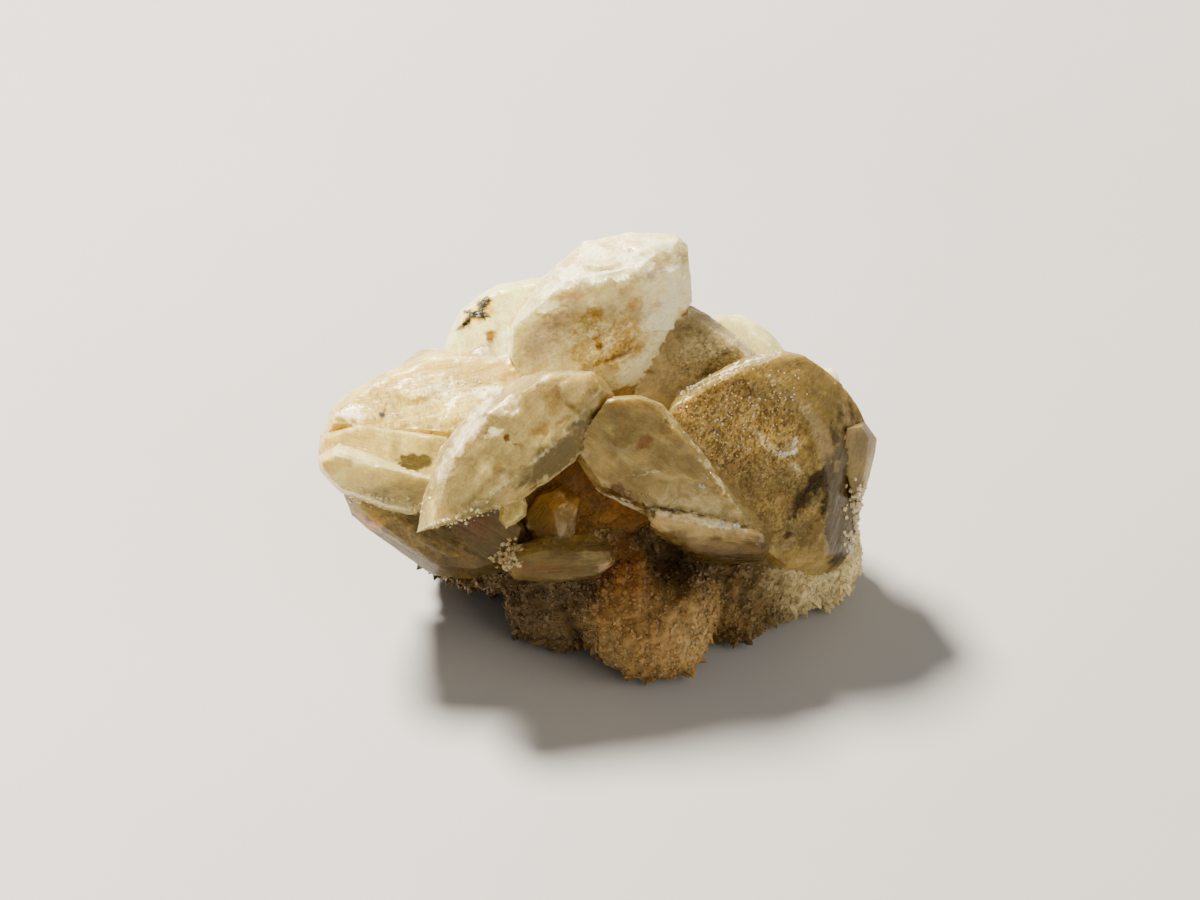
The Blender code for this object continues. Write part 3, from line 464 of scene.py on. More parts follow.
# Grains and flakes inside the crystals: (right, up), radii, count, depths, sizes, flatness, colours.
INCLUSIONS = {
    "right block": [
        ((7.6, 1.0), (3.3, 2.9), 520, (0.12, 1.7), (0.07, 0.22), 0.7, GOLD),
        ((8.0, 1.2), (3.0, 2.6), 150, (0.02, 0.4), (0.05, 0.2), 0.35, CREAM),
        ((10.0, 0.1), (0.7, 0.5), 22, (0.1, 0.6), (0.12, 0.4), 0.25, CREAM),
        ((10.6, -1.6), (1.0, 0.6), 30, (0.1, 0.8), (0.06, 0.2), 0.3, CREAM),
        ((11.6, -2.0), (1.9, 1.1), 130, (0.1, 1.6), (0.1, 0.45), 0.3, DARK),
        ((9.0, -3.6), (2.2, 1.6), 120, (0.2, 2.0), (0.07, 0.22), 0.6, GOLD),
    ],
    "upper plate": [((6.0, 4.2), (2.4, 1.6), 160, (0.15, 1.4), (0.08, 0.25), 0.5, GOLD)],
    "top block": [
        ((0.3, 5.8), (2.0, 1.7), 120, (0.15, 1.2), (0.07, 0.24), 0.4, GOLD),
        ((1.5, 7.5), (3.0, 2.5), 50, (0.2, 1.6), (0.15, 0.55), 0.12, CREAM),
    ],
    "front blade": [
        ((-3.5, 0.5), (3.0, 3.0), 60, (0.15, 1.2), (0.07, 0.25), 0.3, GOLD),
        ((-4.5, -0.5), (3.5, 2.5), 36, (0.2, 1.4), (0.15, 0.6), 0.12, CREAM),
    ],
    "middle wedge": [
        ((2.5, 0.0), (3.0, 2.4), 90, (0.15, 1.5), (0.07, 0.24), 0.4, GOLD),
        ((3.0, -1.5), (3.0, 2.0), 36, (0.2, 1.4), (0.15, 0.6), 0.12, CREAM),
    ],
    "hollow window": [((-1.0, -2.6), (2.4, 1.6), 120, (0.1, 1.0), (0.08, 0.3), 0.5, GOLD)],
    "lower left block": [((-9.5, -4.4), (3.6, 2.0), 80, (0.15, 1.6), (0.08, 0.28), 0.4, GOLD)],
    "left slab": [((-9.0, 1.5), (4.5, 2.2), 90, (0.08, 0.9), (0.05, 0.16), 0.6, CREAM)],
}

# Tiny crystals sprinkled on the large ones: from and to (right, up), spread, count, sizes, colour.
# The near-white ones on the right block, the left slab's top and the middle wedge are painted glints.
SPRINKLES_AND_GLINTS = [
    ((-5.1, -5.3), (-4.9, -6.1), 0.32, 60, (0.10, 0.28), rgb(196, 174, 128)),
    ((4.2, 3.0), (9.9, 5.3), 0.10, 60, (0.05, 0.15), rgb(236, 222, 186)),
    ((-8.9, -4.1), (-5.2, -3.0), 0.16, 44, (0.07, 0.18), rgb(226, 210, 170)),
    ((-8.6, 3.1), (-5.6, 3.7), 0.45, 70, (0.04, 0.10), rgb(255, 246, 220)),
    ((5.4, 1.4), (9.6, 2.6), 1.15, 170, (0.04, 0.11), rgb(252, 238, 200)),
    ((5.6, -0.4), (8.6, 0.6), 0.8, 60, (0.04, 0.10), rgb(240, 206, 130)),
    ((9.7, -0.4), (10.6, 0.6), 0.14, 30, (0.06, 0.20), rgb(255, 248, 224)),
    ((5.3, -1.8), (5.5, -2.0), 0.06, 8, (0.05, 0.14), rgb(252, 240, 214)),
    ((6.3, -3.95), (6.6, -4.0), 0.05, 8, (0.08, 0.18), rgb(255, 246, 222)),
    ((7.1, -4.0), (7.4, -4.05), 0.05, 8, (0.08, 0.2), rgb(255, 246, 222)),
    ((14.1, -2.2), (13.9, -5.9), 0.40, 150, (0.12, 0.34), rgb(214, 196, 152)),
    ((-14.6, -2.4), (-9.0, -3.0), 0.2, 60, (0.07, 0.2), rgb(222, 204, 160)),
]

# Granular areas, where many small grains lie close under the face: (right, up), radii, strength.
GRANULAR = {
    "right block": [
        ((7.4, 1.2), (4.2, 3.8), 1.0), ((9.5, -2.5), (3.5, 3.0), 0.6),
    ],
    "upper plate": [((6.0, 4.4), (2.6, 2.0), 0.7)],
    "top block": [((0.3, 5.6), (2.2, 1.8), 0.5)],
    "left slab": [((-9.5, 1.8), (5.0, 2.2), 0.5)],
    "lower left block": [((-9.0, -4.5), (4.0, 2.2), 0.5)],
    "hollow window": [((-1.0, -3.0), (3.0, 2.5), 0.7)],
}

# The druse's tints: middle (x, y, z), reach, colour. A place takes the colours that are near it.
# The dark ones, in the pit, under the lower crystals and on the left, are painted shade.
DRUSE_TINTS_AND_SHADE = [
    ((2.6, -6.5, 2.8), 3.0, rgb(146, 107, 48)),
    ((4.4, -6.8, 3.0), 1.7, rgb(190, 156, 100)),
    ((1.2, -7.2, 2.2), 1.3, rgb(176, 146, 92)),
    ((1.5, -5.0, 5.4), 1.2, rgb(150, 90, 20)),
    ((-0.8, -6.0, 1.6), 1.7, rgb(120, 100, 60)),
    ((-0.6, -4.5, 4.1), 1.0, rgb(34, 22, 8)),
    ((-3.6, -4.4, 2.0), 2.2, rgb(112, 90, 54)),
    ((-4.6, -2.5, 4.0), 2.4, rgb(58, 38, 10)),
    ((-8.0, 0.0, 3.0), 4.0, rgb(86, 64, 20)),
    ((7.5, -3.0, 2.0), 2.8, rgb(90, 66, 22)),
    ((3.7, -4.5, 6.0), 1.8, rgb(30, 18, 6)),
    ((12.5, 0.0, 3.0), 3.4, rgb(216, 196, 140)),
    ((0.0, 6.0, 3.0), 6.0, rgb(176, 146, 92)),
]

CHIP_SEED, INCLUSION_SEED, SPRINKLE_SEED, SUGAR_SEEDS = 11, 23, 31, (5, 6)

BLOCK = 120.0                # edge of the cube that a crystal is cut from
GROWN_CELL = 0.168           # edge of the fine mesh's cells
REMESH_DEPTH = 8
SHARP = math.radians(24)     # edges sharper than this are worn
CHIPPED = math.radians(50)   # and sharper than this, chipped
SMOOTHED = math.radians(32)
EDGE_SPACING = 0.06
WORN_REACH = 0.18            # how far from an edge its wear shows
CALM_REACH = 0.35            # how far from an edge the relief stays low
CREVICE_REACH = 0.35         # how far from a joint of two crystals the painted shade reaches
CREVICE_SHADE = Vector((0.76, 0.65, 0.45))
CHIPS = 200
LARGEST_CHIP = 1.6
LAYER_STEP = 7.3             # keeps the crystals apart in the noise that they share
LINE_TURN = 0.6              # how much the growth lines turn where they go over an edge
GROWTH_LINES = ((0, 0.040, 7.0, 0.8), (3, 0.016, 4.0, 0.28))  # noise layer, height, stretch, pitch
TERRACES = ((0.95, 0.22, 1.0), (0.45, 0.4, 0.4))              # step, share of it that rises, strength
FROST_BUMPS = ((0.10, 2.0), (0.05, 4.6))  # height, and how fast its noise changes, per millimetre
RAGGED_RIMS = ((0.45, 1.5), (0.32, 4.0))
CRUST_BUMPS = ((0.28, 0.9), (0.20, 2.2), (0.07, 6.0))
IN_SIGHT = 0.05              # least cosine to the sight line at which a face bears the marks above
PLAIN_SPECK = 0.18           # how grainy the crystals are outside the granular areas
INCLUSION_DEPTH = 0.06       # least depth under any face

CRUST_CELL = 0.17
CRUST_SWELL = 0.45           # how much thicker the lumps are here, where the CAD model has coarse grains
CRUST_OVERLAP = 0.2          # how far the crust reaches into the large crystals, which hides the joint
CRUST_ROUGHNESS = 0.45
SUGAR_LAYERS = ((420, (0.32, 0.7), -0.25), (8500, (0.16, 0.32), -0.2), (13200, (0.09, 0.17), -0.05))
COARSE, FINEST = 0, 2        # the first and the last of these layers of (count, sizes, lift)
BURIED = 0.25                # no tiny crystals grow deeper than this in the large ones
LOWEST_SUGAR = 0.12
FRINGE_POINTS = 200          # larger tips along the druse's lower edge
PALE_SUGAR = Vector((0.80, 0.68, 0.45))

CAMERA_DISTANCE = 250.0
SENSOR = 36.0
PHOTO_WIDTH = 1200           # pixels
PHOTO_SCALE = 30.0 / 556     # millimetres to a pixel
AIM = (0, 0, 0.008)          # of the lights, in metres
LIGHTS = (                   # name, place, size, power, colour
    ("key", (-0.13, 0.15, 0.27), 0.08, 6.4, (1.0, 0.92, 0.80)),
    ("fill", (0.26, -0.16, 0.16), 0.34, 0.70, (1.0, 0.95, 0.87)),
)
WORLD = {"Color": (1.0, 0.96, 0.90, 1), "Strength": 0.27}


def viewing_frame(azimuth, look_down):
    """The matrix that brings (right, up, out) of a drawing into the specimen's frame."""
    turn, slope = math.radians(azimuth), math.radians(look_down)
    right = Vector((math.cos(turn), math.sin(turn), 0))
    away = Vector((-math.sin(turn), math.cos(turn), 0))
    out = Vector((0, 0, math.sin(slope))) - away * math.cos(slope)
    axes = Matrix((right, out.cross(right), out)).transposed().to_4x4()
    return Matrix.Translation((0, 0, VIEWED_HEIGHT)) @ axes


FRONT = viewing_frame(0, FRONT_LOOK_DOWN)
TO_FRONT = FRONT.inverted()
TOWARDS_VIEWER = FRONT.to_3x3() @ Vector((0, 0, 1))


def middle_of(crystal):
    corners = crystal.outline
    return [sum(corner[axis] for corner in corners) / len(corners) for axis in (0, 1)]


def sides_of(crystal):
    """Each side of the outline: its two ends, its inset and the direction inwards."""
    corners = crystal.outline
    for (right, up, inset), (next_right, next_up, _) in zip(corners, corners[1:] + corners[:1]):
        inward = Vector((next_up - up, right - next_right)).normalized()
        yield (right, up), (next_right, next_up), inset, inward


def crystal_planes(crystal, grow=0.0):
    """The planes that bound a crystal, as (point, outward normal), each moved outwards by grow."""
    middle_right, middle_up = middle_of(crystal)

    def under_face(right, up, behind):
        """The point at (right, up) that lies so far behind the front face."""
        rise = crystal.lean[0] * (right - middle_right) + crystal.lean[1] * (up - middle_up)
        return Vector((right, up, crystal.depth + rise - behind))

    facing = Vector((-crystal.lean[0], -crystal.lean[1], 1)).normalized()
    middle = under_face(middle_right, middle_up, crystal.thickness / 2)
    planes = [
        (under_face(middle_right, middle_up, 0), facing),
        (under_face(middle_right, middle_up, crystal.thickness), -facing),
    ]
    for (right, up), (next_right, next_up), inset, inward in sides_of(crystal):
        start = under_face(right, up, crystal.rim)
        end = under_face(next_right, next_up, crystal.rim)
        halfway = Vector(((right + next_right) / 2, (up + next_up) / 2))
        for distance, behind in ((inset, 0), (crystal.back_inset, crystal.thickness)):
            foot = under_face(*(halfway + inward * distance), behind)
            side = (end - start).cross(foot - start).normalized()
            if side.dot(middle - start) > 0:
                side.negate()
            planes.append((start, side))
    drawing = viewing_frame(crystal.azimuth, crystal.look_down)
    turn = drawing.to_3x3()
    return [(drawing @ (point + normal * grow), turn @ normal) for point, normal in planes]


def cut_off(shape, point, normal):
    """Cuts away what lies beyond a plane, and gives the edges around the opening."""
    cut = bmesh.ops.bisect_plane(
        shape,
        geom=shape.verts[:] + shape.edges[:] + shape.faces[:],
        dist=1e-5,
        plane_co=point,
        plane_no=normal,
        clear_outer=True,
    )
    return [part for part in cut["geom_cut"] if isinstance(part, bmesh.types.BMEdge)]


def cut_from_block(planes):
    """The convex solid that lies inside every plane."""
    block = bmesh.new()
    bmesh.ops.create_cube(block, size=BLOCK)
    for point, normal in planes:
        rim = cut_off(block, point, normal)
        if rim:
            bmesh.ops.contextual_create(block, geom=rim)
    bmesh.ops.recalc_face_normals(block, faces=block.faces[:])
    return block


def make_lump(centre, radii, grow=0.0):
    """A rounded lump of crust with an uneven surface."""
    lump = bmesh.new()
    bmesh.ops.create_icosphere(lump, subdivisions=4, radius=1.0)
    for vertex in lump.verts:
        direction = vertex.co.normalized()
        spot = Vector(centre) + direction * Vector(radii)
        vertex.co = spot + direction * (grow + noise.noise(spot * LUMP_SWELL_SCALE) * LUMP_SWELL)
    return lump


def add_object(name, data):
    made = bpy.data.objects.new(name, data)
    bpy.context.scene.collection.objects.link(made)
    return made


def evaluated_mesh(thing):
    depsgraph = bpy.context.evaluated_depsgraph_get()
    return bpy.data.meshes.new_from_object(thing.evaluated_get(depsgraph))


def discard(things):
    for thing in things:
        bpy.data.objects.remove(thing)


def boolean(thing, operation, guides):
    modifier = thing.modifiers.new(operation, "BOOLEAN")
    modifier.operation = operation
    modifier.operand_type = "COLLECTION"
    modifier.collection = guides
    modifier.solver = "EXACT"
    modifier.material_mode = "TRANSFER"


def marked(shape, name, guides):
    """An object that takes part in a Boolean and marks its faces by a material of its name."""
    mesh = bpy.data.meshes.new(name)
    shape.to_mesh(mesh)
    shape.free()
    mesh.materials.append(bpy.data.materials.new("id " + name))
    thing = add_object(name, mesh)
    guides.objects.link(thing)
    return thing


def keep_largest_body(mesh):
    """Drops the crumbs and the closed hollows that a Boolean leaves."""
    shape = bmesh.new()
    shape.from_mesh(mesh)
    bmesh.ops.remove_doubles(shape, verts=shape.verts[:], dist=0.002)
    unseen = set(shape.faces)
    bodies = []
    while unseen:
        body = [unseen.pop()]
        for face in body:
            near = {neighbour for edge in face.edges for neighbour in edge.link_faces} & unseen
            unseen -= near
            body.extend(near)
        bodies.append(body)
    bodies.sort(key=len)
    for crumb in bodies[:-1]:
        bmesh.ops.delete(shape, geom=crumb, context="FACES")
    shape.to_mesh(mesh)
    shape.free()


def carved(solids, hollows):
    """The union of the solids, less the hollows, as a mesh. Both are given as (shape, name)."""
    guides = bpy.data.collections.new("solids")
    cutters = bpy.data.collections.new("hollows")
    things = [marked(shape, name, guides) for shape, name in solids]
    whole = add_object("whole", things[0].data.copy())
    things += [marked(shape, name, cutters) for shape, name in hollows]
    boolean(whole, "UNION", guides)
    boolean(whole, "DIFFERENCE", cutters)
    mesh = evaluated_mesh(whole)
    discard(things + [whole])
    keep_largest_body(mesh)
    return mesh


def crystals_as_solids(grow=0.0):
    return [(cut_from_block(crystal_planes(crystal, grow)), crystal.name) for crystal in CRYSTALS]


def grow_together():
    """The union of the crystals, less the pit, as a mesh, and each face's crystal."""
    mesh = carved(crystals_as_solids(), [(make_lump(*PIT), "pit")])
    names = [material.name.removeprefix("id ") for material in mesh.materials]
    return mesh, [names[face.material_index] for face in mesh.polygons]


def remeshed(mesh, cell, mode):
    """The mesh made again of even small faces."""
    thing = add_object("fine", mesh)
    remesh = thing.modifiers.new("fine", "REMESH")
    remesh.mode = mode
    if mode == "VOXEL":
        remesh.voxel_size = cell
    else:
        remesh.octree_depth = REMESH_DEPTH
        remesh.scale = max(thing.dimensions) / (cell * 2 ** remesh.octree_depth)
        remesh.use_remove_disconnected = True
    fine = evaluated_mesh(thing)
    discard([thing])
    return fine


def smooth_step(low, high, value):
    share = min(max((value - low) / (high - low), 0.0), 1.0)
    return share * share * (3 - 2 * share)


def rough_noise(spot, layers):
    """Noise of several scales, each given as its height and how fast it changes."""
    total = 0.0
    for height, pace in layers:
        total += height * noise.noise(spot * pace)
    return total


def terraced(height, step, rise):
    """How far layers of that step stand out at a height, with the share rise of each sloping."""
    share = height / step % 1.0
    return smooth_step(0.0, rise, share) - share


def edges_of(mesh, convex, least=SHARP):
    """The sharp edges of the plain union, as (start, end, direction away from both faces)."""
    shape = bmesh.new()
    shape.from_mesh(mesh)
    shape.normal_update()
    found = []
    for edge in shape.edges:
        if len(edge.link_faces) != 2 or edge.is_convex != convex or edge.calc_face_angle(0) < least:
            continue
        facing = (edge.link_faces[0].normal + edge.link_faces[1].normal).normalized()
        found.append((edge.verts[0].co.copy(), edge.verts[1].co.copy(), facing))
    shape.free()
    return found


def tree_of(points):
    points = list(points)
    tree = KDTree(len(points))
    for i, point in enumerate(points):
        tree.insert(point, i)
    tree.balance()
    return tree


def tree_along(edges):
    """A tree of places along the edges, to find how near the nearest edge is."""
    points = []
    for start, end, _ in edges:
        count = max(1, int((end - start).length / EDGE_SPACING))
        points += [start.lerp(end, i / count) for i in range(count + 1)]
    return tree_of(points)


def in_patch(seen, middle, radii, turn):
    """How far a point of the front view lies from a patch's middle, as a share of its radii."""
    right, up = seen.x - middle[0], seen.y - middle[1]
    cos, sin = math.cos(math.radians(turn)), math.sin(math.radians(turn))
    return math.hypot((right * cos + up * sin) / radii[0], (up * cos - right * sin) / radii[1])


class Habit:
    """What is worked out once for each crystal: its drawing, its growth lines and its ledges."""

    def __init__(self, crystal, layer):
        dice = random.Random(crystal.name)
        self.look = LOOKS[crystal.name]
        self.layer = layer * LAYER_STEP
        drawing = viewing_frame(crystal.azimuth, crystal.look_down)
        self.to_drawing = drawing.inverted()
        turn = math.radians(self.look.lines)
        self.cos, self.sin = math.cos(turn), math.sin(turn)
        right, up = middle_of(crystal)
        self.middle_across = up * self.cos - right * self.sin
        flat = Vector((-crystal.lean[0], -crystal.lean[1], 1)).normalized()
        self.facing = drawing.to_3x3() @ flat
        self.face_point = drawing @ Vector((right, up, crystal.depth))
        self.stains, self.veils, self.plates, self.granular = (
            table.get(crystal.name, []) for table in (STAINS_AND_PAINTED_LIGHT, VEILS_AND_PAINTED_LIGHT, PLATES, GRANULAR)
        )
        self.ledges = []
        for start, _, inset, inward in sides_of(crystal):
            for _ in range(dice.randint(0, self.look.ledges)):
                reach = inset + dice.uniform(0.35, 2.2)
                self.ledges.append((inward, inward.dot(Vector(start)) + reach, dice.uniform(0.03, 0.10)))

    def coordinates(self, place):
        """The place in the drawing, along the growth lines, across them, and behind the front face.

        Behind the face, the lines turn away from its middle, so that they cross the sides as well.
        """
        local = self.to_drawing @ place
        along = local.x * self.cos + local.y * self.sin
        across = local.y * self.cos - local.x * self.sin
        behind = self.facing.dot(self.face_point - place)
        side = math.tanh((across - self.middle_across) / 0.8)
        across += LINE_TURN * (local.z + behind) + LINE_TURN * behind * side
        return local, along, across, behind

    def relief(self, place, normal, calm):
        """How far growth lifts or sinks the surface there, less near the crystal's edges."""
        local, along, across, behind = self.coordinates(place)
        lines = 0.0
        for layer, height, stretch, pitch in GROWTH_LINES:
            lines += height * noise.noise(Vector((along / stretch, across / pitch, self.layer + layer)))
        on_face = smooth_step(0.82, 0.96, normal.dot(self.facing))
        wobble = 0.16 * noise.noise(place * 0.9)
        steps = 0.0
        for inward, limit, drop in self.ledges:
            broken = smooth_step(-0.25, 0.0, noise.noise(place * 0.35 + Vector((limit, drop, 0))))
            past = inward.x * local.x + inward.y * local.y - limit - wobble
            steps -= drop * broken * (1 - smooth_step(-0.09, 0.09, past))
        height = behind + 0.35 * noise.noise(place * 0.4)
        layers = 0.0
        for step, rise, strength in TERRACES:
            layers += terraced(height, step, rise) * strength
        shaped = self.plated(place, normal) + steps * on_face + self.look.layers * layers * (1 - on_face)
        return lines * (0.4 + 0.6 * on_face) + calm * shaped

    def plated(self, place, normal):
        """How far the plates lift the surface there."""
        if not self.plates or normal.dot(TOWARDS_VIEWER) < IN_SIGHT:
            return 0.0
        seen = TO_FRONT @ place
        wobble = 0.10 * noise.noise(place * 1.3)
        lifted = 0.0
        for middle, radii, turn, lift, tilt in self.plates:
            inside = 1 - smooth_step(0.92, 1.05, in_patch(seen, middle, radii, turn) + wobble)
            slope = tilt[0] * (seen.x - middle[0]) + tilt[1] * (seen.y - middle[1])
            lifted += inside * (lift - 0.35 * slope)
        return lifted

    def marks(self, place, frost):
        """The stain and painted light drawn there, how grainy the place is, and its frost with the veils
        and painted light added.
        """
        seen = TO_FRONT @ place + noise.noise_vector(place * 2.6) * 0.20
        ragged = rough_noise(place, RAGGED_RIMS)
        stain, speck = Vector((0, 0, 0, 0)), PLAIN_SPECK
        for middle, radii, turn, colour, strength in self.stains:
            away = in_patch(seen, middle, radii, turn) + ragged
            cover = min(strength * (1 - smooth_step(0.35, 1.5, away)), 1.0)
            if cover > 0:
                total = cover + stain.w * (1 - cover)
                mixed = Vector(stain[:3]).lerp(Vector(colour), cover / total)
                stain = Vector((*mixed, total))
        for middle, radii, strength in self.granular:
            away = in_patch(seen, middle, radii, 0) + ragged
            speck = max(speck, strength * (1 - smooth_step(0.5, 1.3, away)))
        for middle, radii, turn, strength in self.veils:
            away = in_patch(seen, middle, radii, turn) + ragged
            frost += strength * (1 - smooth_step(0.5, 1.4, away))
        return stain, speck, frost


def write_attributes(mesh, kind, **attributes):
    """Gives a mesh attributes of one kind, each with a value for every vertex."""
    field = {"FLOAT": "value", "FLOAT_VECTOR": "vector", "FLOAT_COLOR": "color"}[kind]
    for name, values in attributes.items():
        attribute = mesh.attributes.new(name, kind, "POINT")
        attribute.data.foreach_set(field, np.array(values, np.float32).ravel())


def pick_chips():
    """The chips in the sharpest edges: a place on each chip's plane, the way it faces, and its reach."""
    dice = random.Random(CHIP_SEED)
    crisp = edges_of(plain, True, CHIPPED)
    weights = [(end - start).length for start, end, _ in crisp]
    chips = []
    for start, end, facing in dice.choices(crisp, weights=weights, k=CHIPS):
        reach = min(0.25 + dice.expovariate(2.4), LARGEST_CHIP)
        aim = (facing + any_direction(dice) * 0.45).normalized()
        centre = start.lerp(end, dice.random()) - aim * reach * dice.uniform(0.06, 0.18)
        chips.append((centre, aim, reach))
    return chips


def make_cluster():
    """The fine mesh of the large crystals, with the attributes that their material reads."""
    worn = tree_along(edges_of(plain, True))
    habits = {crystal.name: Habit(crystal, layer) for layer, crystal in enumerate(CRYSTALS)}
    habits["pit"] = habits["heart"]
    fine = remeshed(plain.copy(), GROWN_CELL, "SHARP")
    count = len(fine.vertices)
    tints, stains = np.zeros((2, count, 4), np.float32)
    clears, roughs, frosts_and_painted_light, specks = np.zeros((4, count), np.float32)
    grains = np.zeros((count, 3), np.float32)
    places = []
    for i, vertex in enumerate(fine.vertices):
        spot = vertex.co
        _, normal, face, _ = surface.find_nearest(spot)
        habit, look = habits[owners[face]], LOOKS[owners[face]]
        _, along, across, _ = habit.coordinates(spot)
        grains[i] = (along, across, habit.layer)
        from_edge = worn.find(spot)[2]
        edge = math.exp(-from_edge / WORN_REACH)
        calm = 1 - math.exp(-(from_edge / CALM_REACH) ** 2)
        crevice = math.exp(-hollow.find(spot)[2] / CREVICE_REACH)
        wear = 0.5 + 0.5 * noise.noise(spot * 1.1)
        # Upward faces turn whiter and rougher: partly frosted etching, partly painted light on the tops.
        upward = smooth_step(0.35, 0.95, normal.z) * look.frost
        frost = min(0.05 + look.frost, 0.34) * edge * (0.3 + wear)
        frost += 0.6 * upward * (0.55 + 0.9 * noise.noise(spot * 0.8))
        stain, specks[i] = (0, 0, 0, 0), PLAIN_SPECK
        if normal.dot(TOWARDS_VIEWER) > IN_SIGHT:
            stain, specks[i], frost = habit.marks(spot, frost)
        frost = min(max(frost, 0.0), 1.0)
        relief = habit.relief(spot, normal, calm)
        lift = relief + rough_noise(spot, FROST_BUMPS) * frost - 0.06 * edge * wear
        places.append(spot + normal * (lift + 0.006 * noise.noise(spot * 6)))
        patch = 1 + 0.18 * noise.noise(spot * 0.45 + Vector((0, 0, habit.layer)))
        colour = Vector(look.colour) * patch
        # Painted shade: near a joint between crystals the colour is darker and the crystal less clear.
        colour = colour.lerp(colour * CREVICE_SHADE, 0.45 * crevice)
        tints[i] = (*colour, 1)
        stains[i] = stain
        clears[i] = look.clearness * (1 - 0.3 * crevice)
        roughs[i] = look.roughness + 0.06 * wear
        frosts_and_painted_light[i] = frost
    crushed = tree_of(places)
    for centre, aim, reach in pick_chips():
        for _, i, away in crushed.find_range(centre, reach):
            over = (places[i] - centre).dot(aim) - 0.5 * reach * smooth_step(0.5, 1.0, away / reach)
            if over > 0:
                places[i] = places[i] - aim * (over - 0.03 * noise.noise(places[i] * 4))
                frosts_and_painted_light[i] = min(1.0, frosts_and_painted_light[i] + 0.15)
                roughs[i] += 0.05
    fine.vertices.foreach_set("co", np.array(places, np.float32).ravel())
    write_attributes(fine, "FLOAT_COLOR", tint=tints, stain=stains)
    write_attributes(fine, "FLOAT", clear=clears, rough=roughs, frost=frosts_and_painted_light, speck=specks)
    write_attributes(fine, "FLOAT_VECTOR", grain=grains)
    return fine


class Crumbs:
    """Many small closed solids gathered into one mesh, each with its own tint and roughness."""

    def __init__(self, seed):
        self.dice = random.Random(seed)
        self.points = []
        self.faces = []
        self.tints = []
        self.roughs = []

    def add(self, corners, faces, spot, aim, size, tint, rough):
        """Adds one solid, given as a template about the origin, at a spot and turned to aim."""
        dice = self.dice
        spin = Matrix.Rotation(dice.uniform(0, math.tau), 3, "Z")
        turn = aim.to_track_quat("Z", "Y").to_matrix() @ spin @ Matrix.Diagonal(size)
        first = len(self.points)
        for corner in corners:
            at = spot + turn @ corner
            self.points.append((at.x, at.y, max(at.z, 0.0)))
        self.faces += [tuple(first + i for i in face) for face in faces]
        shade = dice.uniform(0.92, 1.10)
        self.tints += [(tint[0] * shade, tint[1] * shade, tint[2] * shade, 1.0)] * len(corners)
        self.roughs += [rough] * len(corners)

    def block(self, spot, aim, size, tint, rough):
        """A small uneven block."""
        dice = self.dice
        lean = dice.uniform(0.2, 0.7)
        corners = []
        for level in (-1, 1):
            width = 1.0 if level < 0 else dice.uniform(0.35, 0.9)
            for x, y in ((-1, -1), (1, -1), (1, 1), (-1, 1)):
                corners.append(Vector((
                    (x * width + lean * level * 0.3 + dice.uniform(-0.25, 0.25)) / 2,
                    (y * width + dice.uniform(-0.25, 0.25)) / 2,
                    (level + dice.uniform(-0.25, 0.25)) / 2,
                )))
        faces = [(3, 2, 1, 0), (4, 5, 6, 7)] + [(i, (i + 1) % 4, (i + 1) % 4 + 4, i + 4) for i in range(4)]
        self.add(corners, faces, spot, aim, size, tint, rough)

    def point(self, spot, aim, size, tint, rough):
        """A small pointed prism."""
        dice = self.dice
        sides = dice.choice((5, 6))
        corners = []
        for height in (-0.5, dice.uniform(0.05, 0.3)):
            for i in range(sides):
                turn = math.tau * i / sides
                corners.append(Vector((math.cos(turn) / 2, math.sin(turn) / 2, height)))
        corners.append(Vector((dice.uniform(-0.15, 0.15), dice.uniform(-0.15, 0.15), 0.6)))
        faces = [tuple(range(sides - 1, -1, -1))]
        for i in range(sides):
            following = (i + 1) % sides
            faces.append((i, following, following + sides, i + sides))
            faces.append((i + sides, following + sides, 2 * sides))
        self.add(corners, faces, spot, aim, size, tint, rough)

    def mesh(self, name):
        mesh = bpy.data.meshes.new(name)
        mesh.from_pydata(self.points, [], self.faces)
        write_attributes(mesh, "FLOAT_COLOR", tint=self.tints)
        write_attributes(mesh, "FLOAT", rough=self.roughs)
        return mesh


def any_direction(dice):
    return Vector([dice.gauss(0, 1) for _ in range(3)]).normalized()


def behind_view(right, up):
    """Where the front view's sight line meets the plain crystals: the spot, its normal and its crystal."""
    start = FRONT @ Vector((right, up, 40.0))
    spot, normal, face, _ = surface.ray_cast(start, -TOWARDS_VIEWER)
    return spot, normal, None if spot is None else owners[face]


def scatter_inclusion(crumbs, name, planes, middle, radii, depths, sizes, flatness, colours):
    """One grain or flake behind the crystal's front, left out where it would come through a face."""
    dice = crumbs.dice
    away, turn = math.sqrt(dice.random()), dice.uniform(0, math.tau)
    right = middle[0] + radii[0] * away * math.cos(turn)
    up = middle[1] + radii[1] * away * math.sin(turn)
    size = dice.uniform(*sizes)
    depth = dice.uniform(*depths) + size / 2
    aim = (TOWARDS_VIEWER + any_direction(dice) * 0.8).normalized()
    tint = dice.choice(colours)
    rough = dice.uniform(0.1, 0.4)
    spot, _, owner = behind_view(right, up)
    if owner != name:
        return
    spot = spot - TOWARDS_VIEWER * depth
    if not any((spot - point).dot(normal) > -size / 2 for point, normal in planes):
        crumbs.block(spot, aim, (size, size * dice.uniform(0.6, 1.0), size * flatness), tint, rough)


def make_inclusions():
    crumbs = Crumbs(INCLUSION_SEED)
    planes = {crystal.name: crystal_planes(crystal, -INCLUSION_DEPTH) for crystal in CRYSTALS}
    for name, clouds in INCLUSIONS.items():
        for middle, radii, count, *kind in clouds:
            for _ in range(count):
                scatter_inclusion(crumbs, name, planes[name], middle, radii, *kind)
    return crumbs.mesh("inclusions")


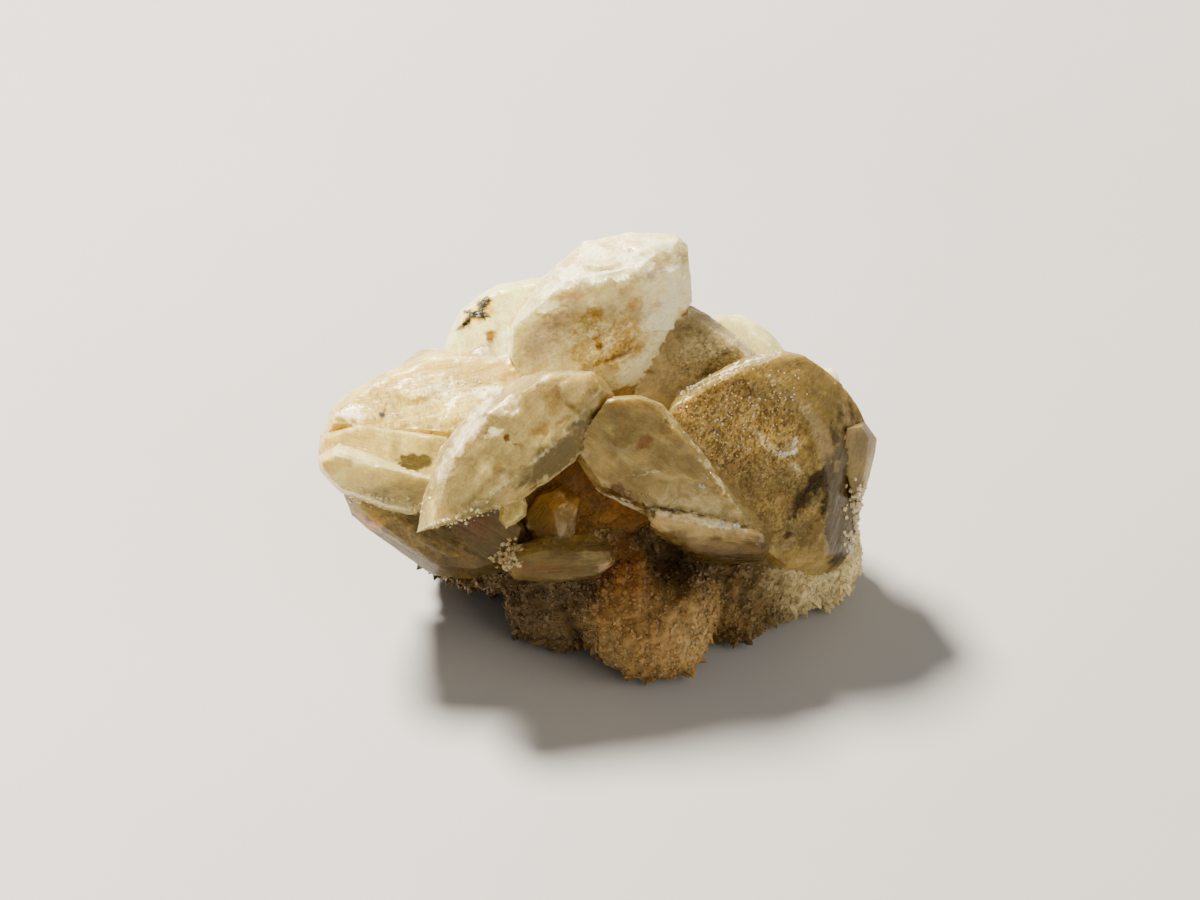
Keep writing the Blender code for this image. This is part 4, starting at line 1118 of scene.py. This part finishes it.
def make_sprinkles_and_glints():
    crumbs = Crumbs(SPRINKLE_SEED)
    dice = crumbs.dice
    for start, end, spread, count, sizes, colour in SPRINKLES_AND_GLINTS:
        for _ in range(count):
            on_line = Vector(start).lerp(Vector(end), dice.random())
            right = on_line.x + dice.gauss(0, spread)
            up = on_line.y + dice.gauss(0, spread)
            size = dice.uniform(*sizes)
            spot, normal, _ = behind_view(right, up)
            aim = any_direction(dice)
            if spot is not None:
                aim = (normal + aim * 0.7).normalized()
                crumbs.block(spot - normal * size * 0.1, aim, (size, size, size), colour, 0.25)
    return crumbs.mesh("sprinkles")


def make_crust():
    """The lumps melted into one crust, hollowed by the crystals and the pit and cut off flat underneath."""
    lumps = [(make_lump(*lump, CRUST_SWELL), "lump") for lump in LUMPS]
    melted = carved(lumps, [(make_lump(*PIT), "pit")] + crystals_as_solids(-CRUST_OVERLAP))
    crust = remeshed(melted, CRUST_CELL, "VOXEL")
    shape = bmesh.new()
    shape.from_mesh(crust)
    shape.normal_update()
    for vertex in shape.verts:
        vertex.co = vertex.co + vertex.normal * rough_noise(vertex.co, CRUST_BUMPS)
    rim = cut_off(shape, (0, 0, 0), (0, 0, -1))
    bmesh.ops.triangle_fill(shape, use_beauty=True, edges=rim)
    bmesh.ops.recalc_face_normals(shape, faces=shape.faces[:])
    shape.to_mesh(crust)
    shape.free()
    tints = [(*druse_tint_and_shade(vertex.co), 1.0) for vertex in crust.vertices]
    write_attributes(crust, "FLOAT_COLOR", tint=tints)
    write_attributes(crust, "FLOAT", rough=[CRUST_ROUGHNESS] * len(crust.vertices))
    return crust


def druse_tint_and_shade(spot):
    """The druse's colour and painted shade at a place: the tints near it, the nearer the stronger."""
    total = Vector((0, 0, 0))
    weights = 0.0
    ragged = Vector((noise.noise(spot * 0.6), noise.noise(spot * 0.6 + Vector((9, 0, 0))), 0))
    for middle, reach, colour in DRUSE_TINTS_AND_SHADE:
        weight = math.exp(-((spot + ragged - Vector(middle)).length / reach) ** 2) + 1e-5
        total += Vector(colour) * weight
        weights += weight
    return total / weights


def buried(spot, slack):
    """Whether a place lies deeper than slack inside the large crystals."""
    near, normal, _, _ = surface.find_nearest(spot)
    return (spot - near).dot(normal) < -slack


def normal_of(a, b, c):
    return (b - a).cross(c - a).normalized()


def make_sugar(crust):
    """Thousands of tiny crystals that grow out of the crust: the larger ones, and the finest."""
    larger, finest = (Crumbs(seed) for seed in SUGAR_SEEDS)
    crust.calc_loop_triangles()
    bare = [t for t in crust.loop_triangles if t.center.z > 0.1 and not buried(t.center, BURIED)]
    corners = [[crust.vertices[i].co for i in triangle.vertices] for triangle in bare]
    weights = [triangle.area for triangle in bare]
    for layer, (count, sizes, lift) in enumerate(SUGAR_LAYERS):
        crumbs = finest if layer == FINEST else larger
        dice = crumbs.dice
        for a, b, c in dice.choices(corners, weights=weights, k=count):
            first, second = sorted((dice.random(), dice.random()))
            spot = a * first + b * (second - first) + c * (1 - second)
            normal = normal_of(a, b, c)
            size = dice.uniform(*sizes)
            aim = (normal + any_direction(dice) * 0.55).normalized()
            kind = dice.random()
            length = size * dice.uniform(0.7, 1.3)
            if spot.z < LOWEST_SUGAR or buried(spot, BURIED):
                continue
            tint = druse_tint_and_shade(spot).lerp(PALE_SUGAR, 0.14 * dice.random() ** 2)
            rough = 0.12 + 0.45 * dice.random()
            spot = spot + normal * size * lift
            if kind < 0.7 and layer != COARSE:
                crumbs.block(spot, aim, (size, size * 0.85, length), tint, rough)
            else:
                crumbs.point(spot, aim, (size * 0.8, size * 0.7, length * 1.1), tint, rough)
    grow_fringe(larger, corners)
    return larger.mesh("druse_sugar"), finest.mesh("druse_sugar_fine")


def grow_fringe(crumbs, corners):
    """Larger tips where the crust turns down out of the front view's sight."""
    downwards = FRONT.to_3x3() @ Vector((0, -1, 0))
    fringe = []
    for a, b, c in corners:
        normal = normal_of(a, b, c)
        if normal.dot(downwards) > 0.45 and abs(normal.dot(TOWARDS_VIEWER)) < 0.5:
            fringe.append((a, normal))
    dice = crumbs.dice
    for spot, normal in dice.choices(fringe, k=FRINGE_POINTS):
        size = dice.uniform(0.3, 0.95)
        aim = (normal + any_direction(dice) * 0.4).normalized()
        if spot.z > 0.3:
            spot, tint = spot + normal * size * 0.1, druse_tint_and_shade(spot)
            crumbs.point(spot, aim, (size * 0.6, size * 0.5, size), tint, 0.2)


def place(mesh, name):
    mesh.transform(Matrix.Translation(shift) @ Matrix.Scale(MM, 4))
    piece = add_object(name, mesh)
    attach(piece, "root")
    return piece


def finish_with(piece, material):
    piece.data.materials.clear()
    piece.data.materials.append(material)


class Nodes:
    """Small helper that writes a material's node tree."""

    def __init__(self, name):
        self.material = bpy.data.materials.new(name)
        self.material.use_nodes = True
        self.tree = self.material.node_tree
        self.shader = self.tree.nodes["Principled BSDF"]
        self.output = self.tree.nodes["Material Output"]

    def feed(self, socket, value):
        """Links a socket to another one, or sets it."""
        if isinstance(value, bpy.types.NodeSocket):
            self.tree.links.new(value, socket)
        else:
            socket.default_value = value

    def add(self, kind, inputs=(), **settings):
        node = self.tree.nodes.new("ShaderNode" + kind)
        for key, value in settings.items():
            setattr(node, key, value)
        for key, value in dict(inputs).items():
            self.feed(node.inputs[key], value)
        return node

    def set(self, **inputs):
        for key, value in inputs.items():
            self.feed(self.shader.inputs[key.replace("_", " ")], value)

    def attribute(self, name):
        return self.add("Attribute", attribute_name=name)

    def cloud(self, vector, scale, **inputs):
        noise_inputs = {"Vector": vector, "Scale": scale, **inputs}
        return self.add("TexNoise", noise_inputs).outputs["Fac"]

    def plus(self, first, second):
        return self.add("Math", {0: first, 1: second}, operation="ADD").outputs[0]

    def times(self, first, second):
        return self.add("Math", {0: first, 1: second}, operation="MULTIPLY").outputs[0]

    def vector(self, operation, *inputs, **named):
        return self.add("VectorMath", {**dict(enumerate(inputs)), **named}, operation=operation).outputs[0]

    def ranged(self, value, from_min, from_max, to_min=0.0, to_max=1.0):
        """A value brought from one range to another, and held inside it."""
        limits = {"From Min": from_min, "From Max": from_max, "To Min": to_min, "To Max": to_max}
        return self.add("MapRange", {"Value": value, **limits}).outputs["Result"]

    def mixed(self, share, first, second):
        return self.add("Mix", {0: share, 6: first, 7: second}, data_type="RGBA").outputs[2]


def crystal_material():
    nodes = Nodes("honey_crystal")
    tint = nodes.attribute("tint").outputs["Color"]
    grain = nodes.attribute("grain").outputs["Vector"]
    frost, speck, clear, rough = (
        nodes.attribute(name).outputs["Fac"] for name in ("frost", "speck", "clear", "rough")
    )
    stain = nodes.attribute("stain")
    stretched = nodes.add("Mapping", {"Vector": grain, "Scale": (0.3, 2.6, 1.0)}).outputs["Vector"]
    streaks = nodes.cloud(stretched, 1.0, Detail=6.0, Roughness=0.62)
    cloud = nodes.cloud(grain, 0.7, Detail=6.0, Roughness=0.66, Distortion=0.4)
    fine = nodes.cloud(grain, 2.6, Detail=5.0, Roughness=0.7)
    glints = nodes.add("TexVoronoi", {"Vector": grain, "Scale": 8.5}).outputs["Color"]

    # Clouds and milky streaks, then stains, frost, painted light and the uneven grains over them.
    colour = nodes.vector("SCALE", tint, Scale=nodes.ranged(cloud, 0.3, 0.7, 0.74, 1.18))
    milky = nodes.ranged(nodes.plus(cloud, nodes.times(streaks, 0.5)), 0.78, 1.0)
    paler = nodes.vector("MULTIPLY_ADD", colour, (1.5, 1.5, 1.5), (0.04, 0.03, 0.01))
    colour = nodes.mixed(nodes.times(milky, 0.6), colour, paler)
    ragged = nodes.plus(stain.outputs["Alpha"], nodes.ranged(fine, 0.25, 0.75, -0.42, 0.42))
    stain_and_light_mask = nodes.ranged(ragged, 0.18, 0.80)
    stain_and_light_mask = nodes.times(stain_and_light_mask, nodes.ranged(stain.outputs["Alpha"], 0.0, 0.35))
    colour = nodes.mixed(stain_and_light_mask, colour, stain.outputs["Color"])
    speckled = nodes.plus(frost, nodes.ranged(fine, 0.25, 0.75, -0.35, 0.35))
    frost_and_light_mask = nodes.times(nodes.ranged(speckled, 0.15, 0.95), nodes.ranged(frost, 0.0, 0.2))
    # The frost's pale colour also paints the light on the tops and the painted highlights.
    colour = nodes.mixed(nodes.times(frost_and_light_mask, 0.9), colour, (0.95, 0.86, 0.54, 1))
    cell = nodes.add("SeparateColor", {0: glints}).outputs[0]
    uneven = nodes.add("Mix", {0: speck, 2: 1.0, 3: nodes.ranged(cell, 0.0, 1.0, 0.38, 1.95)}).outputs[0]
    colour = nodes.vector("SCALE", colour, Scale=uneven)

    clear = nodes.times(clear, nodes.ranged(cloud, 0.3, 0.7, 1.15, 0.7))
    clear = nodes.times(clear, nodes.ranged(frost_and_light_mask, 0.0, 1.0, 1.0, 0.25))
    clear = nodes.times(clear, nodes.ranged(stain_and_light_mask, 0.0, 1.0, 1.0, 0.55))
    rough = nodes.plus(rough, nodes.ranged(streaks, 0.3, 0.7, -0.05, 0.12))
    rough = nodes.plus(rough, nodes.times(frost_and_light_mask, 0.16))

    # The growth lines as bumps, and grains that each catch the light in their own direction.
    lines = nodes.add("Bump", {"Height": streaks, "Strength": 0.4, "Distance": 0.00014}).outputs[0]
    sparkle = nodes.plus(nodes.ranged(frost_and_light_mask, 0.0, 1.0, 0.04, 0.5), nodes.times(speck, 0.15))
    tilt = nodes.vector("SCALE", nodes.vector("SUBTRACT", glints, (0.5, 0.5, 0.5)), Scale=sparkle)
    faceted = nodes.vector("NORMALIZE", nodes.vector("ADD", lines, tilt))
    nodes.set(Base_Color=colour, Transmission_Weight=clear, Roughness=rough, IOR=1.55, Normal=faceted)
    nodes.set(Specular_Tint=(1.0, 0.88, 0.66, 1), Specular_IOR_Level=0.35)
    nodes.set(Subsurface_Weight=0.6, Subsurface_Scale=0.0016, Subsurface_Radius=(1.0, 0.82, 0.42))
    absorb = nodes.add("VolumeAbsorption", {"Color": (0.88, 0.76, 0.34, 1), "Density": 130.0})
    nodes.feed(nodes.output.inputs["Volume"], absorb.outputs[0])
    return nodes.material


def crumb_material(name, transmission, scatter, reach):
    """Tiny crystals and grains, each with its own tint and gloss."""
    nodes = Nodes(name)
    tint = nodes.attribute("tint").outputs["Color"]
    cloud = nodes.cloud(nodes.add("TexCoord").outputs["Object"], 2600.0, Detail=3.0)
    colour = nodes.vector("SCALE", tint, Scale=nodes.ranged(cloud, 0.3, 0.7, 0.8, 1.2))
    rough = nodes.plus(nodes.attribute("rough").outputs["Fac"], nodes.ranged(cloud, 0.3, 0.7, -0.04, 0.08))
    etched = nodes.add("Bump", {"Height": cloud, "Strength": 0.25, "Distance": 0.00004})
    nodes.set(Base_Color=colour, Roughness=rough, IOR=1.55, Transmission_Weight=transmission)
    nodes.set(Normal=etched.outputs[0], Subsurface_Weight=scatter)
    nodes.set(Specular_Tint=(1.0, 0.84, 0.60, 1), Specular_IOR_Level=0.35)
    nodes.set(Subsurface_Radius=(1.0, 0.8, 0.6), Subsurface_Scale=reach * MM)
    return nodes.material


def floor_material():
    nodes = Nodes("pale_floor")
    speckle = nodes.add("TexNoise", {"Scale": 60.0, "Detail": 4.0})
    ramp = nodes.add("ValToRGB", {"Fac": speckle.outputs["Fac"]})
    ramp.color_ramp.elements[0].color = (0.40, 0.392, 0.378, 1)
    ramp.color_ramp.elements[1].color = (0.45, 0.442, 0.428, 1)
    nodes.set(Base_Color=ramp.outputs["Color"], Roughness=0.6)
    return nodes.material


def add_camera(aim):
    slope = math.radians(FRONT_LOOK_DOWN)
    back = Vector((0, -math.cos(slope), math.sin(slope)))
    data = bpy.data.cameras.new("camera")
    data.sensor_width = SENSOR
    data.lens = data.sensor_width * CAMERA_DISTANCE / (PHOTO_WIDTH * PHOTO_SCALE)
    data.clip_start = 0.01
    camera = add_object("camera", data)
    camera.location = (aim + back * CAMERA_DISTANCE) * MM
    camera.rotation_euler = (-back).to_track_quat("-Z", "Y").to_euler()
    bpy.context.scene.camera = camera


def add_light(name, spot, size, power, colour):
    data = bpy.data.lights.new(name, "AREA")
    data.shape = "DISK"
    data.size = size
    data.energy = power
    data.color = colour
    light = add_object(name, data)
    light.location = spot
    light.rotation_euler = (Vector(AIM) - Vector(spot)).to_track_quat("-Z", "Y").to_euler()


plain, owners = grow_together()
surface = BVHTree.FromPolygons([v.co for v in plain.vertices], [p.vertices for p in plain.polygons])
hollow = tree_along(edges_of(plain, False))
lowest = Vector([min(vertex.co[axis] for vertex in plain.vertices) for axis in range(3)])
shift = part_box("crystal_cluster")[0] - lowest * MM

cluster = place(make_cluster(), "large_crystals")
cluster.data.shade_smooth()
cluster.data.set_sharp_from_angle(angle=SMOOTHED)
finish_with(cluster, crystal_material())
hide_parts("crystal_cluster")

grains = crumb_material("grains", 0.25, 0.0, 0.1)
finish_with(place(make_inclusions(), "inclusions"), grains)
sugar = crumb_material("sugar", 0.15, 0.8, 0.22)
finish_with(place(make_sprinkles_and_glints(), "sprinkled_crystals"), sugar)
crust_mesh = make_crust()
for mesh in make_sugar(crust_mesh):
    finish_with(place(mesh, mesh.name), sugar)
crust = place(crust_mesh, "druse_crust")
crust.data.shade_smooth()
finish_with(crust, crumb_material("crust", 0.0, 1.0, 0.9))
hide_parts("druse_base")

bpy.ops.mesh.primitive_plane_add(size=1.6)
floor = bpy.context.object
floor.name = "floor"
floor.data.materials.append(floor_material())

add_camera(Vector((0, 0, VIEWED_HEIGHT)) + shift / MM)
for light in LIGHTS:
    add_light(*light)
world = bpy.data.worlds.new("studio")
bpy.context.scene.world = world
world.use_nodes = True
for key, value in WORLD.items():
    world.node_tree.nodes["Background"].inputs[key].default_value = value
